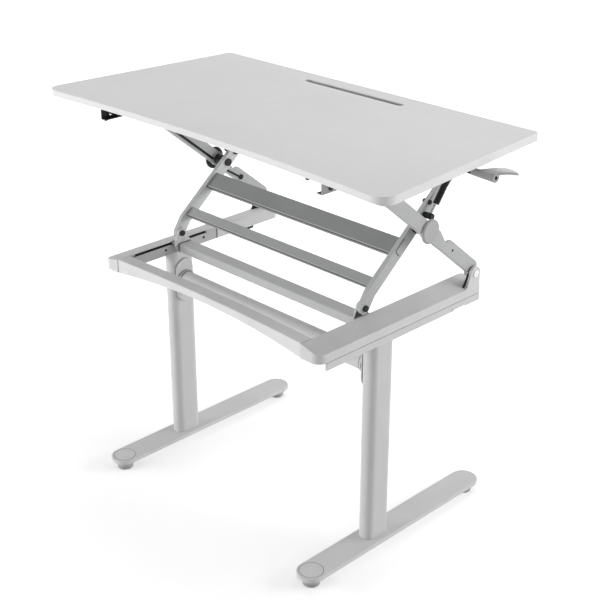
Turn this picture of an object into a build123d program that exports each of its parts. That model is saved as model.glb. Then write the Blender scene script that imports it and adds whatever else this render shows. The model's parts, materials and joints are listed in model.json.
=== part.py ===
from build123d import *
import os
from math import atan2, cos, degrees, hypot, radians, sin

os.makedirs("parts", exist_ok=True)

# Height adjustable standing desk on a fixed base, millimetres, +Z up
# Drawn about the plane midway between the feet, with Y from midway along them and Z from the floor
# X runs to the user's right, Y runs to the back

# Fits shared by the pieces
FACE_GAP = 0.5
RUN_FIT = 0.08
SEAT_FIT = 0.1
SIDES = ((-1, "left"), (1, "right"))

# Heights of the base rails above the floor
RAIL_FLOOR = 622.0
RAIL_TALL_IN = 37.0
RAIL_TALL_OUT = 22.0
RAIL_TOP_IN = RAIL_FLOOR + RAIL_TALL_IN
RAIL_TOP_OUT = RAIL_FLOOR + RAIL_TALL_OUT

# Scissor lift, in the pose that is drawn, and the angles at the ends of its travel
ARM_HALF = 239.0
LIFT_ANGLE = 42.3
LOW_ANGLE = 4.0
HIGH_ANGLE = 53.0
ARM_SKEW = 2.8
BODY_ANGLE = LIFT_ANGLE - ARM_SKEW
PIVOT_OVER_RAIL = 20.0
PIVOT_LOW_Z = RAIL_TOP_IN + PIVOT_OVER_RAIL
REAR_PIVOT_Y = 261.0
SPAN_HALF = ARM_HALF * cos(radians(LIFT_ANGLE))
RISE_HALF = ARM_HALF * sin(radians(LIFT_ANGLE))
HUB_Y = REAR_PIVOT_Y - SPAN_HALF
HUB_Z = PIVOT_LOW_Z + RISE_HALF
FRONT_PIVOT_Y = HUB_Y - SPAN_HALF
PIVOT_HIGH_Z = HUB_Z + RISE_HALF
SKEW = radians(ARM_SKEW)
PIVOT_T = ARM_HALF * cos(SKEW)
PIVOT_P = ARM_HALF * sin(SKEW)

# Lateral stack on each side, measured from the middle plane and built up from the inner arm
ARM_A_OUT = 350.0
ARM_A_THICK = 12.0
ARM_A_IN = ARM_A_OUT - ARM_A_THICK
PLATE_RUN = 0.6
CHEEK_THICK = 4.9
CHEEK_OUT = ARM_A_IN - PLATE_RUN
CHEEK_IN = CHEEK_OUT - CHEEK_THICK
BRACKET_RUN = 1.0
BRACKET_MID_THICK = 4.0
BRACKET_MID_IN = ARM_A_OUT + BRACKET_RUN
BRACKET_MID_OUT = BRACKET_MID_IN + BRACKET_MID_THICK
CYLINDER_RADIUS = 8.0
SPRING_ROOM_IN = 5.0
SPRING_ROOM_OUT = 2.0
SPRING_X = BRACKET_MID_OUT + SPRING_ROOM_IN + CYLINDER_RADIUS
ARM_B_IN = SPRING_X + CYLINDER_RADIUS + SPRING_ROOM_OUT
ARM_B_DEEP = 15.0
ARM_B_OUT = ARM_B_IN + ARM_B_DEEP
EAR_ROOM = 4.5
EAR_THICK = 8.0
EAR_IN = ARM_B_OUT + EAR_ROOM
RAIL_OUT = EAR_IN + EAR_THICK
RAIL_ROOM = 7.6
RAIL_IN = CHEEK_OUT + RAIL_ROOM

# Feet and glides
FOOT_SET_IN = 26.5
FOOT_X = RAIL_OUT - FOOT_SET_IN
FOOT_SPAN = 600.0
FOOT_WIDTH = 76.0
FOOT_THICK = 11.0
FOOT_TOP = 39.0
FOOT_BOTTOM = FOOT_TOP - FOOT_THICK
FOOT_ROUND = 2.0
CAP_RADIUS = 31.0
CAP_THICK = 2.4
GLIDE_RADIUS = 25.0
PAD_RADIUS = 22.0
NECK_RADIUS = 19.5
PAD_HEIGHT = 11.5
NECK_HEIGHT = 1.6
STUD_RADIUS = 5.0
STUD_LENGTH = 6.0

# Columns and cross tube
COLUMN_LONG = 80.0
COLUMN_WIDE = 44.0
COLUMN_ROUND = 20.0
COLUMN_WALL = 2.5
COLUMN_ROOM = 1.5
COLUMN_Y = -72.5
TUBE_RADIUS = 26.0
TUBE_WALL = 2.0
TUBE_FORWARD = 1.5
TUBE_DROP = 93.5
TUBE_Y = COLUMN_Y - TUBE_FORWARD
TUBE_Z = RAIL_FLOOR - TUBE_DROP
FLANGE_TALL = 126.0
FLANGE_WIDE = 57.0
FLANGE_THICK = 5.0
COLLAR_RADIUS = 28.0
COLLAR_LENGTH = 9.0

# Base rails, with slots as long as the travel of the carriage
SHEET = 2.5
CHEEK_BASE = 54.0
SLOT_FRONT_ROOM = 4.2
SLOT_REAR_ROOM = 2.2
SLOT_DROP = 7.4
SLOT_FRONT_Y = REAR_PIVOT_Y - 2 * ARM_HALF * cos(radians(LOW_ANGLE)) - CHEEK_BASE / 2 - SLOT_FRONT_ROOM
SLOT_REAR_Y = REAR_PIVOT_Y - 2 * ARM_HALF * cos(radians(HIGH_ANGLE)) + CHEEK_BASE / 2 + SLOT_REAR_ROOM
SLOT_BOTTOM = RAIL_TOP_IN - SLOT_DROP
RAIL_PAST_SLOT = 58.0
RAIL_PAST_PIVOT = 20.0
RAIL_FRONT_Y = SLOT_FRONT_Y - RAIL_PAST_SLOT
RAIL_REAR_Y = REAR_PIVOT_Y + RAIL_PAST_PIVOT
SEAM_DROP = 1.2
SEAM_GAP = 1.5
SEAM_Z = RAIL_FLOOR - SEAM_DROP
STRIP_DROP = 21.5
STRIP_SET_BACK = 26.0
STRIP_STEP = 3.0
STRIP_STEP_LONG = 50.0
STRIP_PAST_STEP = 53.0
STRIP_BOTTOM = RAIL_FLOOR - STRIP_DROP
STRIP_FRONT_Y = RAIL_FRONT_Y + STRIP_SET_BACK
STRIP_STEP_REAR_Y = RAIL_REAR_Y - STRIP_PAST_STEP
STRIP_STEP_FRONT_Y = STRIP_STEP_REAR_Y - STRIP_STEP_LONG
COLUMN_OUT = RAIL_OUT - 2 * SHEET - COLUMN_ROOM
COLUMN_X = COLUMN_OUT - COLUMN_WIDE / 2
SPLIT_PAST_SLOT = 40.0
SPLIT_GAP = 1.5
SPLIT_Y = SLOT_REAR_Y + SPLIT_PAST_SLOT
CORNER_ROUND = 26.0
REAR_ROUND = 14.0
EDGE_ROUND = 1.5
EAR_RADIUS = 18.0
EAR_ROOT_AHEAD = 57.0
EAR_NECK_AHEAD = 32.0
EAR_ROOT_Y = REAR_PIVOT_Y - EAR_ROOT_AHEAD
EAR_NECK_Y = REAR_PIVOT_Y - EAR_NECK_AHEAD
EAR_FILLET = 14.0

# Front bar between the rails
BAR_DEPTH = 44.0
BAR_BOW = 11.0
BAR_ARCH = 18.0
BAR_SET_BACK = 1.0
BAR_TOP = RAIL_TOP_IN
BAR_FRONT_Y = RAIL_FRONT_Y + BAR_SET_BACK
BAR_WALL = 3.0
BAR_BEVEL = 9.0

# Sliding carriage
CARRIAGE_DEPTH = 43.0
CARRIAGE_TALL = 25.0
CARRIAGE_DROP = 7.0
CARRIAGE_TOP = RAIL_TOP_IN - CARRIAGE_DROP
CARRIAGE_LEAD = -15.0
CARRIAGE_ROUND = 4.0
CHEEK_ROUND = 15.0
TONGUE_BOTTOM = SLOT_BOTTOM + FACE_GAP
TONGUE_THICK = 3.0
TONGUE_GRIP = 1.0
TONGUE_REACH = RAIL_IN + SHEET + TONGUE_GRIP

# Arms
ARM_A_WIDE = 32.0
ARM_A_BEND_T = 202.0
ARM_B_WIDE = 36.0
ARM_B_WEB = 4.0
ARM_B_WALL = 3.0
ARM_B_SLOT = 7.0
BOSS_RADIUS = 13.0
END_RADIUS = 17.0
HUB_BOSS = 20.0
CHANNEL_END_T = 24.0
NOTCH_START_T = 42.0
NOTCH_DEEP_T = 80.0
NOTCH_END_T = 88.0
NOTCH_P = 4.0
NOTCH_ROUND = 18.0
NOTCH_DIP = 5.0
HUB_CAP_RADIUS = 31.0
HUB_CAP_THICK = 7.0
HUB_CAP_LIP = 3.0
AXLE_RADIUS = 8.0
AXLE_HEAD = 10.5
SPACER_RADIUS = 15.0
PLATE_BOLT_T = 121.0

# Cross members of the inner frame
PANEL_FROM_T = -92.0
PANEL_TO_T = -45.0
MID_FROM_T = -191.0
MID_TO_T = -165.0
MEMBER_FACE_P = 10.0
MEMBER_DEPTH = 18.0
MEMBER_SHEET = 2.5

# Pins and bolts
PIN_RADIUS = 6.0
HEAD_RADIUS = 7.8
HEAD_THICK = 4.5
EAR_PIN_RADIUS = 7.0
EAR_CAP_RADIUS = 8.5
SMALL_PIN = 5.0
STOP_T = 68.0
STOP_P = 11.0
STOP_RADIUS = 3.5
STOP_HEAD = 6.0
SCREW_RADIUS = 3.2
SCREW_HEAD = 1.6

# Desktop
DESK_OVER_PIVOT = 57.3
DESK_THICK = 20.0
DESK_UNDER = PIVOT_HIGH_Z + DESK_OVER_PIVOT
DESK_TOP = DESK_UNDER + DESK_THICK
DESK_FRONT_HALF = 600.0
DESK_BACK_HALF = 546.5
DESK_PAST_PIVOT = 25.5
DESK_DEEP = 607.0
DESK_BACK_Y = REAR_PIVOT_Y + DESK_PAST_PIVOT
DESK_FRONT_Y = DESK_BACK_Y - DESK_DEEP
DESK_BOW = 27.0
DESK_CORNER = 36.0
DESK_BACK_CORNER = 14.0
DESK_ROUND = 1.5
BEVEL_UP = 4.0
BEVEL_IN = 12.0
SLOT_LONG = 346.0
SLOT_WIDE = 18.0
SLOT_DEEP = 11.0
SLOT_SET_IN = 60.5
SLOT_Y = DESK_BACK_Y - SLOT_SET_IN
SLOT_RIM = 1.5

# Rails and brackets under the desktop
TOP_RAIL_ROOM = 2.0
TOP_RAIL_DEEP = 16.0
TOP_RAIL_IN = ARM_B_IN + TOP_RAIL_ROOM
TOP_RAIL_OUT = TOP_RAIL_IN + TOP_RAIL_DEEP
TOP_RAIL_TALL = 30.0
TOP_RAIL_WALL = 2.5
TOP_RAIL_SET_BACK = 30.5
TOP_RAIL_SET_IN = 12.5
TOP_RAIL_FRONT_Y = DESK_FRONT_Y + TOP_RAIL_SET_BACK
TOP_RAIL_REAR_Y = DESK_BACK_Y - TOP_RAIL_SET_IN
TOP_RAIL_BOLT_BACK = 26.5
TOP_RAIL_BOLT_DROP = 19.0
SLIDER_THICK = 5.9
SLIDER_OUT = ARM_B_IN - PLATE_RUN
SLIDER_IN = SLIDER_OUT - SLIDER_THICK
SLIDER_HALF = 25.0
BRACKET_PLATE_OUT = TOP_RAIL_IN - BRACKET_RUN
BRACKET_AHEAD = 43.0
BRACKET_BEHIND = 20.0
BRACKET_FRONT_Y = REAR_PIVOT_Y - BRACKET_AHEAD
BRACKET_REAR_Y = REAR_PIVOT_Y + BRACKET_BEHIND
BRACKET_PLATE = 3.0
BRACKET_END = 15.0

# Gas springs
SPRING_LOW_T = 38.0
SPRING_TOP_AHEAD = 21.0
SPRING_TOP_DROP = 26.0
SPRING_TOP_Y = REAR_PIVOT_Y - SPRING_TOP_AHEAD
SPRING_TOP_Z = DESK_UNDER - SPRING_TOP_DROP
CYLINDER_WALL = 1.3
CYLINDER_BORE = CYLINDER_RADIUS - CYLINDER_WALL
ROD_RADIUS = 3.5
MOUTH_FROM_LOW = 34.0
ROD_ROOM = 60.3
EYE_RADIUS = 8.0
EYE_HALF = 5.0
COLLAR_DEEP = 6.0

# Release handle
HANDLE_SET_IN = 240.5
HANDLE_DROP = 21.0
HANDLE_Y = DESK_BACK_Y - HANDLE_SET_IN
HANDLE_Z = DESK_UNDER - HANDLE_DROP
HANDLE_PROUD = 5.0
HANDLE_LONG = 65.0
HANDLE_END_X = DESK_FRONT_HALF + HANDLE_PROUD
HANDLE_START_X = HANDLE_END_X - HANDLE_LONG
HANDLE_SMALL = 8.5
HANDLE_LARGE = 11.0
HANDLE_HOLE = 4.5
HANDLE_HOLE_DEEP = 8.0
HANDLE_SHAFT = 6.0
HANDLE_COLLAR = 7.5
HANDLE_COLLAR_LONG = 12.0
MOUNT_SET_IN = 95.0
MOUNT_LONG = 41.0
MOUNT_OUT_X = DESK_FRONT_HALF - MOUNT_SET_IN
MOUNT_IN_X = MOUNT_OUT_X - MOUNT_LONG
MOUNT_HALF = 17.0
MOUNT_ROUND = 16.0
PADDLE_LIFT = 2.0
PADDLE_THICK = 5.5
PADDLE_FRONT = ((-3.0, 0.0), (-2.0, 16.0), (7.0, 31.0), (29.0, 43.0))
PADDLE_BACK = ((29.0, 43.0), (8.0, 53.0), (-19.0, 51.0), (-35.0, 32.0), (-49.0, 4.0))

pieces = []
HUB = (HUB_Y, HUB_Z)
LOW_A = (FRONT_PIVOT_Y, PIVOT_LOW_Z)
TOP_A = (REAR_PIVOT_Y, PIVOT_HIGH_Z)
LOW_B = (REAR_PIVOT_Y, PIVOT_LOW_Z)
TOP_B = (FRONT_PIVOT_Y, PIVOT_HIGH_Z)
BODY_C = cos(radians(BODY_ANGLE))
BODY_S = sin(radians(BODY_ANGLE))
SPRING_LOW = (HUB_Y + SPRING_LOW_T * BODY_C, HUB_Z + SPRING_LOW_T * BODY_S)
SPRING_RUN = SPRING_TOP_Y - SPRING_LOW[0]
SPRING_CLIMB = SPRING_TOP_Z - SPRING_LOW[1]
SPRING_LONG = hypot(SPRING_RUN, SPRING_CLIMB)
SPRING_ANGLE = atan2(SPRING_CLIMB, SPRING_RUN)
CYLINDER_END = SPRING_LONG - 2 * EYE_RADIUS
BORE_END = CYLINDER_END - COLLAR_DEEP
ROD_LONG = BORE_END - ROD_ROOM - EYE_RADIUS


def start(side, inner, outer):
    return inner if side > 0 else -outer


def side_plane(side, inner, outer):
    return Plane.YZ.offset(start(side, inner, outer))


def inner_arm_plane(x):
    return Plane(origin=(x, HUB_Y, HUB_Z), x_dir=(0, BODY_C, BODY_S), z_dir=(1, 0, 0))


def outer_arm_plane(x):
    return Plane(origin=(x, HUB_Y, HUB_Z), x_dir=(0, BODY_C, -BODY_S), z_dir=(1, 0, 0))


def save(piece, label):
    pieces.append((piece, label))


# Feet are flat bars with round ends, a cap recess at the front and stud holes below
def build_foot(side):
    with BuildPart() as foot:
        with BuildSketch(Plane.XY.offset(FOOT_BOTTOM)):
            with Locations((side * FOOT_X, 0)):
                SlotCenterToCenter(FOOT_SPAN, FOOT_WIDTH, rotation=90)
        extrude(amount=FOOT_THICK)
        chamfer(foot.edges().group_by(Axis.Z)[-1], FOOT_ROUND)
        with BuildSketch(Plane.XY.offset(FOOT_TOP)):
            with Locations((side * FOOT_X, -FOOT_SPAN / 2)):
                Circle(CAP_RADIUS + FACE_GAP)
        extrude(amount=-CAP_THICK, mode=Mode.SUBTRACT)
        with BuildSketch(Plane.XY.offset(FOOT_BOTTOM)):
            with Locations((side * FOOT_X, -FOOT_SPAN / 2), (side * FOOT_X, FOOT_SPAN / 2)):
                Circle(STUD_RADIUS + RUN_FIT)
        extrude(amount=STUD_LENGTH + FACE_GAP, mode=Mode.SUBTRACT)
    return foot.part


for side, word in SIDES:
    save(build_foot(side), "foot_" + word)

# Round caps let into the front ends of the feet
with BuildPart() as foot_caps:
    with BuildSketch(Plane.XY.offset(FOOT_TOP - CAP_THICK)):
        with Locations((-FOOT_X, -FOOT_SPAN / 2), (FOOT_X, -FOOT_SPAN / 2)):
            Circle(CAP_RADIUS)
    extrude(amount=CAP_THICK)
    chamfer(foot_caps.edges().group_by(Axis.Z)[-1], FACE_GAP)
save(foot_caps.part, "foot_caps")


# Levelling glides turn in the feet on a short stud
def build_glide(x, y):
    with BuildPart() as glide:
        with BuildSketch(Plane.XY):
            with Locations((x, y)):
                Circle(PAD_RADIUS)
        extrude(amount=PAD_HEIGHT)
        with BuildSketch(Plane.XY.offset(PAD_HEIGHT)):
            with Locations((x, y)):
                Circle(NECK_RADIUS)
        extrude(amount=NECK_HEIGHT)
        with BuildSketch(Plane.XY.offset(PAD_HEIGHT + NECK_HEIGHT)):
            with Locations((x, y)):
                Circle(GLIDE_RADIUS)
        extrude(amount=FOOT_BOTTOM - FACE_GAP - PAD_HEIGHT - NECK_HEIGHT)
        with BuildSketch(Plane.XY.offset(FOOT_BOTTOM - FACE_GAP)):
            with Locations((x, y)):
                Circle(STUD_RADIUS)
        extrude(amount=STUD_LENGTH)
        chamfer(glide.edges().group_by(Axis.Z)[0], FOOT_ROUND)
    return glide.part


for side, word in SIDES:
    save(build_glide(side * FOOT_X, -FOOT_SPAN / 2), "glide_front_" + word)
    save(build_glide(side * FOOT_X, FOOT_SPAN / 2), "glide_rear_" + word)


# Columns are rounded tubes standing on the feet, clear of the strips on the rails
def build_column(side):
    with BuildPart() as column:
        with BuildSketch(Plane.XY.offset(FOOT_TOP)):
            with Locations((side * COLUMN_X, COLUMN_Y)):
                RectangleRounded(COLUMN_WIDE, COLUMN_LONG, COLUMN_ROUND)
                RectangleRounded(
                    COLUMN_WIDE - 2 * COLUMN_WALL,
                    COLUMN_LONG - 2 * COLUMN_WALL,
                    COLUMN_ROUND - COLUMN_WALL,
                    mode=Mode.SUBTRACT,
                )
        extrude(amount=RAIL_FLOOR - FOOT_TOP)
    return column.part


# Flange plates with a collar hold the cross tube on the columns
def build_flange(side):
    face = COLUMN_X - COLUMN_WIDE / 2
    with BuildPart() as flange:
        with BuildSketch(side_plane(side, face - FLANGE_THICK, face)):
            with Locations((TUBE_Y, TUBE_Z)):
                SlotOverall(FLANGE_TALL, FLANGE_WIDE, rotation=90)
        extrude(amount=FLANGE_THICK)
        ring = face - FLANGE_THICK
        with BuildSketch(side_plane(side, ring - COLLAR_LENGTH, ring)):
            with Locations((TUBE_Y, TUBE_Z)):
                Circle(COLLAR_RADIUS)
                Circle(TUBE_RADIUS + SEAT_FIT, mode=Mode.SUBTRACT)
        extrude(amount=COLLAR_LENGTH)
    return flange.part


for side, word in SIDES:
    save(build_column(side), "column_" + word)
    save(build_flange(side), "crossbar_flange_" + word)

# Round cross tube between the columns
TUBE_HALF = COLUMN_X - COLUMN_WIDE / 2 - FLANGE_THICK
with BuildPart() as crossbar:
    with BuildSketch(Plane.YZ.offset(-TUBE_HALF)):
        with Locations((TUBE_Y, TUBE_Z)):
            Circle(TUBE_RADIUS)
            Circle(TUBE_RADIUS - TUBE_WALL, mode=Mode.SUBTRACT)
    extrude(amount=2 * TUBE_HALF)
save(crossbar.part, "crossbar_tube")


# Rail beams carry the load, with an inner wall, a floor and an outer strip that hangs below the cover
def build_beam(side):
    inner = side * RAIL_IN
    wall = side * (RAIL_IN + SHEET)
    skin = side * (RAIL_OUT - SHEET - SEAT_FIT)
    strip = side * (RAIL_OUT - 2 * SHEET)
    outside = side * RAIL_OUT
    strip_top = SEAM_Z - SEAM_GAP
    roof = RAIL_TOP_IN - SHEET - SEAT_FIT - SHEET * (RAIL_TOP_IN - RAIL_TOP_OUT) / (RAIL_OUT - RAIL_IN)
    floor_top = RAIL_FLOOR + SHEET
    floor_rear = RAIL_REAR_Y - SHEET - REAR_ROUND / 4
    front = RAIL_FRONT_Y + SHEET + SEAT_FIT
    with BuildPart() as beam:
        with BuildSketch(Plane.XZ.offset(-SPLIT_Y)):
            with BuildLine():
                Polyline(
                    (inner, RAIL_FLOOR),
                    (wall, RAIL_FLOOR),
                    (wall, roof),
                    (inner, roof),
                    close=True,
                )
            make_face()
        extrude(amount=SPLIT_Y - front)
        with BuildSketch(Plane.XZ.offset(-floor_rear)):
            with BuildLine():
                Polyline(
                    (wall, RAIL_FLOOR),
                    (strip, RAIL_FLOOR),
                    (strip, STRIP_BOTTOM),
                    (skin, STRIP_BOTTOM),
                    (skin, floor_top),
                    (wall, floor_top),
                    close=True,
                )
            make_face()
        extrude(amount=floor_rear - STRIP_FRONT_Y)
        with BuildSketch(Plane.XZ.offset(-RAIL_REAR_Y)):
            with BuildLine():
                Polyline(
                    (strip, STRIP_BOTTOM),
                    (outside, STRIP_BOTTOM),
                    (outside, strip_top),
                    (strip, strip_top),
                    close=True,
                )
            make_face()
        extrude(amount=RAIL_REAR_Y - STRIP_FRONT_Y)
        with BuildSketch(side_plane(side, RAIL_IN - SHEET, RAIL_IN + 2 * SHEET)):
            with BuildLine():
                Polyline(
                    (SLOT_FRONT_Y, SLOT_BOTTOM),
                    (SLOT_REAR_Y, SLOT_BOTTOM),
                    (SLOT_REAR_Y, RAIL_TOP_IN),
                    (SLOT_FRONT_Y, RAIL_TOP_IN),
                    close=True,
                )
            make_face()
        extrude(amount=3 * SHEET, mode=Mode.SUBTRACT)
        with BuildSketch(side_plane(side, RAIL_OUT - 3 * SHEET, RAIL_OUT)):
            with BuildLine():
                Polyline(
                    (STRIP_STEP_FRONT_Y, STRIP_BOTTOM),
                    (STRIP_STEP_REAR_Y, STRIP_BOTTOM),
                    (STRIP_STEP_REAR_Y, STRIP_BOTTOM + STRIP_STEP),
                    (STRIP_STEP_FRONT_Y, STRIP_BOTTOM + STRIP_STEP),
                    close=True,
                )
            make_face()
        extrude(amount=3 * SHEET, mode=Mode.SUBTRACT)
    return beam.part


# The plan of a rail cover, rounded at the front outside and the rear inside
def cover_plan(side, inner, outer, front, rear, front_round, rear_round):
    with BuildSketch() as plan:
        with BuildLine():
            Polyline(
                (side * inner, front),
                (side * (outer - front_round), front),
            )
            Line((side * outer, front + front_round), (side * outer, rear))
            RadiusArc(
                (side * (outer - front_round), front),
                (side * outer, front + front_round),
                -side * front_round,
            )
            Line((side * outer, rear), (side * (inner + rear_round), rear))
            RadiusArc(
                (side * (inner + rear_round), rear),
                (side * inner, rear - rear_round),
                -side * rear_round,
            )
            Line((side * inner, rear - rear_round), (side * inner, front))
        make_face()
    return plan.sketch


# The space above the sloping roof of a rail cover
def roof_space(side, drop):
    slope = (RAIL_TOP_IN - RAIL_TOP_OUT) / (RAIL_OUT - RAIL_IN)
    past = RAIL_OUT - RAIL_IN
    high = RAIL_TOP_IN + past
    with BuildPart() as space:
        with BuildSketch(Plane.XZ.offset(-RAIL_REAR_Y - past)):
            with BuildLine():
                Polyline(
                    (side * (RAIL_IN - past), RAIL_TOP_IN - drop + past * slope),
                    (side * (RAIL_OUT + past), RAIL_TOP_OUT - drop - past * slope),
                    (side * (RAIL_OUT + past), high),
                    (side * (RAIL_IN - past), high),
                    close=True,
                )
            make_face()
        extrude(amount=RAIL_REAR_Y - RAIL_FRONT_Y + 2 * past)
    return space.part


# The hollow inside a rail cover
def cover_hollow(side):
    plan = cover_plan(
        side,
        RAIL_IN - SHEET,
        RAIL_OUT - SHEET,
        RAIL_FRONT_Y + SHEET,
        RAIL_REAR_Y - SHEET,
        CORNER_ROUND - SHEET,
        REAR_ROUND,
    )
    above = roof_space(side, SHEET)
    with BuildPart() as hollow:
        with BuildSketch(Plane.XY.offset(RAIL_FLOOR - 2 * SHEET)):
            add(plan)
        extrude(amount=RAIL_TOP_IN - RAIL_FLOOR + 2 * SHEET)
        add(above, mode=Mode.SUBTRACT)
    return hollow.part


# Rail covers have a sloping roof, a rounded front corner and a rear ear for the outer arm
def build_cover(side):
    plan = cover_plan(side, RAIL_IN, RAIL_OUT, RAIL_FRONT_Y, RAIL_REAR_Y, CORNER_ROUND, REAR_ROUND)
    above = roof_space(side, 0)
    hollow = cover_hollow(side)
    rear = REAR_PIVOT_Y + EAR_RADIUS
    ear_foot = RAIL_FLOOR + SHEET + FACE_GAP
    with BuildPart() as cover:
        with BuildSketch(Plane.XY.offset(SEAM_Z)):
            add(plan)
        extrude(amount=RAIL_TOP_IN - SEAM_Z)
        add(above, mode=Mode.SUBTRACT)
        top = cover.faces().sort_by(Axis.Z)[-1]
        fillet(top.edges().filter_by(Axis.Y, reverse=True), EDGE_ROUND)
        add(hollow, mode=Mode.SUBTRACT)
        with BuildSketch(side_plane(side, EAR_IN, RAIL_OUT)) as ear:
            with BuildLine():
                Polyline(
                    (EAR_ROOT_Y, ear_foot),
                    (rear, ear_foot),
                    (rear, PIVOT_LOW_Z),
                    (REAR_PIVOT_Y - EAR_RADIUS, PIVOT_LOW_Z),
                    (EAR_NECK_Y, RAIL_TOP_OUT),
                    (EAR_ROOT_Y, RAIL_TOP_OUT),
                    close=True,
                )
            make_face()
            fillet(ear.vertices().sort_by_distance((EAR_NECK_Y, RAIL_TOP_OUT))[0], EAR_FILLET)
            with Locations((REAR_PIVOT_Y, PIVOT_LOW_Z)):
                Circle(EAR_RADIUS)
                Circle(EAR_PIN_RADIUS + SEAT_FIT, mode=Mode.SUBTRACT)
        extrude(amount=RAIL_OUT - EAR_IN)
    return cover.part


# Rear wall pieces close the inner side of each rail behind the slotted wall
def build_rail_end(side):
    roof = RAIL_TOP_IN - SHEET - SEAT_FIT - SHEET * (RAIL_TOP_IN - RAIL_TOP_OUT) / (RAIL_OUT - RAIL_IN)
    rear = RAIL_REAR_Y - SHEET - REAR_ROUND
    with BuildPart() as rail_end:
        with BuildSketch(side_plane(side, RAIL_IN, RAIL_IN + SHEET)):
            with BuildLine():
                Polyline(
                    (SPLIT_Y + SPLIT_GAP, RAIL_FLOOR),
                    (rear, RAIL_FLOOR),
                    (rear, roof),
                    (SPLIT_Y + SPLIT_GAP, roof),
                    close=True,
                )
            make_face()
        extrude(amount=SHEET)
    return rail_end.part


for side, word in SIDES:
    save(build_beam(side), "rail_beam_" + word)
    save(build_cover(side), "rail_cover_" + word)
    save(build_rail_end(side), "rail_end_" + word)

# Front bar, bowed back in plan and arched underneath
BAR_HALF = RAIL_IN - SEAT_FIT
ARCH_HALF = BAR_HALF - 4 * BAR_WALL
BAR_INNER_Y = BAR_FRONT_Y + BAR_DEPTH - BAR_WALL - BAR_BEVEL
with BuildPart() as front_bar:
    with BuildSketch(Plane.XY.offset(RAIL_FLOOR)):
        with BuildLine():
            ThreePointArc((-BAR_HALF, BAR_FRONT_Y), (0, BAR_FRONT_Y + BAR_BOW), (BAR_HALF, BAR_FRONT_Y))
            Line((BAR_HALF, BAR_FRONT_Y), (BAR_HALF, BAR_FRONT_Y + BAR_DEPTH))
            ThreePointArc(
                (BAR_HALF, BAR_FRONT_Y + BAR_DEPTH),
                (0, BAR_FRONT_Y + BAR_BOW + BAR_DEPTH),
                (-BAR_HALF, BAR_FRONT_Y + BAR_DEPTH),
            )
            Line((-BAR_HALF, BAR_FRONT_Y + BAR_DEPTH), (-BAR_HALF, BAR_FRONT_Y))
        make_face()
    extrude(amount=BAR_TOP - RAIL_FLOOR)
    rims = front_bar.edges().group_by(Axis.Z)[-1].filter_by(GeomType.CIRCLE).sort_by(Axis.Y)
    chamfer(rims[0], EDGE_ROUND)
    chamfer(rims[-1], BAR_BEVEL)
    with BuildSketch(Plane.XY.offset(RAIL_FLOOR)):
        with BuildLine():
            ThreePointArc(
                (-BAR_HALF + BAR_WALL, BAR_FRONT_Y + BAR_WALL),
                (0, BAR_FRONT_Y + BAR_BOW + BAR_WALL),
                (BAR_HALF - BAR_WALL, BAR_FRONT_Y + BAR_WALL),
            )
            Line(
                (BAR_HALF - BAR_WALL, BAR_FRONT_Y + BAR_WALL),
                (BAR_HALF - BAR_WALL, BAR_INNER_Y),
            )
            ThreePointArc(
                (BAR_HALF - BAR_WALL, BAR_INNER_Y),
                (0, BAR_INNER_Y + BAR_BOW),
                (-BAR_HALF + BAR_WALL, BAR_INNER_Y),
            )
            Line(
                (-BAR_HALF + BAR_WALL, BAR_INNER_Y),
                (-BAR_HALF + BAR_WALL, BAR_FRONT_Y + BAR_WALL),
            )
        make_face()
    extrude(amount=BAR_TOP - BAR_WALL - RAIL_FLOOR, mode=Mode.SUBTRACT)
    with BuildSketch(Plane.XZ.offset(-BAR_FRONT_Y - 2 * BAR_DEPTH)):
        with BuildLine():
            ThreePointArc((-ARCH_HALF, RAIL_FLOOR), (0, RAIL_FLOOR + BAR_ARCH), (ARCH_HALF, RAIL_FLOOR))
            Line((ARCH_HALF, RAIL_FLOOR), (ARCH_HALF, RAIL_FLOOR - BAR_ARCH))
            Line((ARCH_HALF, RAIL_FLOOR - BAR_ARCH), (-ARCH_HALF, RAIL_FLOOR - BAR_ARCH))
            Line((-ARCH_HALF, RAIL_FLOOR - BAR_ARCH), (-ARCH_HALF, RAIL_FLOOR))
        make_face()
    extrude(amount=4 * BAR_DEPTH, mode=Mode.SUBTRACT)
save(front_bar.part, "front_bar")

# Small screws in the inner rail walls and flat bolt heads under the rails
SCREW_FROM_FRONT = 105.0
SCREW_FROM_REAR = 8.5
SCREW_UP = 16.3
SCREW_Y = (SLOT_FRONT_Y + SCREW_FROM_FRONT, SLOT_REAR_Y - SCREW_FROM_REAR)
SCREW_Z = RAIL_FLOOR + SCREW_UP
UNDER_BOLT_AHEAD = 86.0
UNDER_BOLT_Y = REAR_PIVOT_Y - UNDER_BOLT_AHEAD
UNDER_BOLT_IN = 9.5
UNDER_BOLT_HEAD = 8.5
UNDER_BOLT_THICK = 5.0
with BuildPart() as rail_screws:
    for side, word in SIDES:
        with BuildSketch(side_plane(side, RAIL_IN - SCREW_HEAD, RAIL_IN)):
            with Locations((SCREW_Y[0], SCREW_Z), (SCREW_Y[1], SCREW_Z)):
                Circle(SCREW_RADIUS)
        extrude(amount=SCREW_HEAD)
        with BuildSketch(Plane.XY.offset(RAIL_FLOOR - UNDER_BOLT_THICK)):
            with Locations((side * (RAIL_IN + UNDER_BOLT_IN), UNDER_BOLT_Y)):
                Circle(UNDER_BOLT_HEAD)
        extrude(amount=UNDER_BOLT_THICK)
save(rail_screws.part, "rail_screws")

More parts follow.
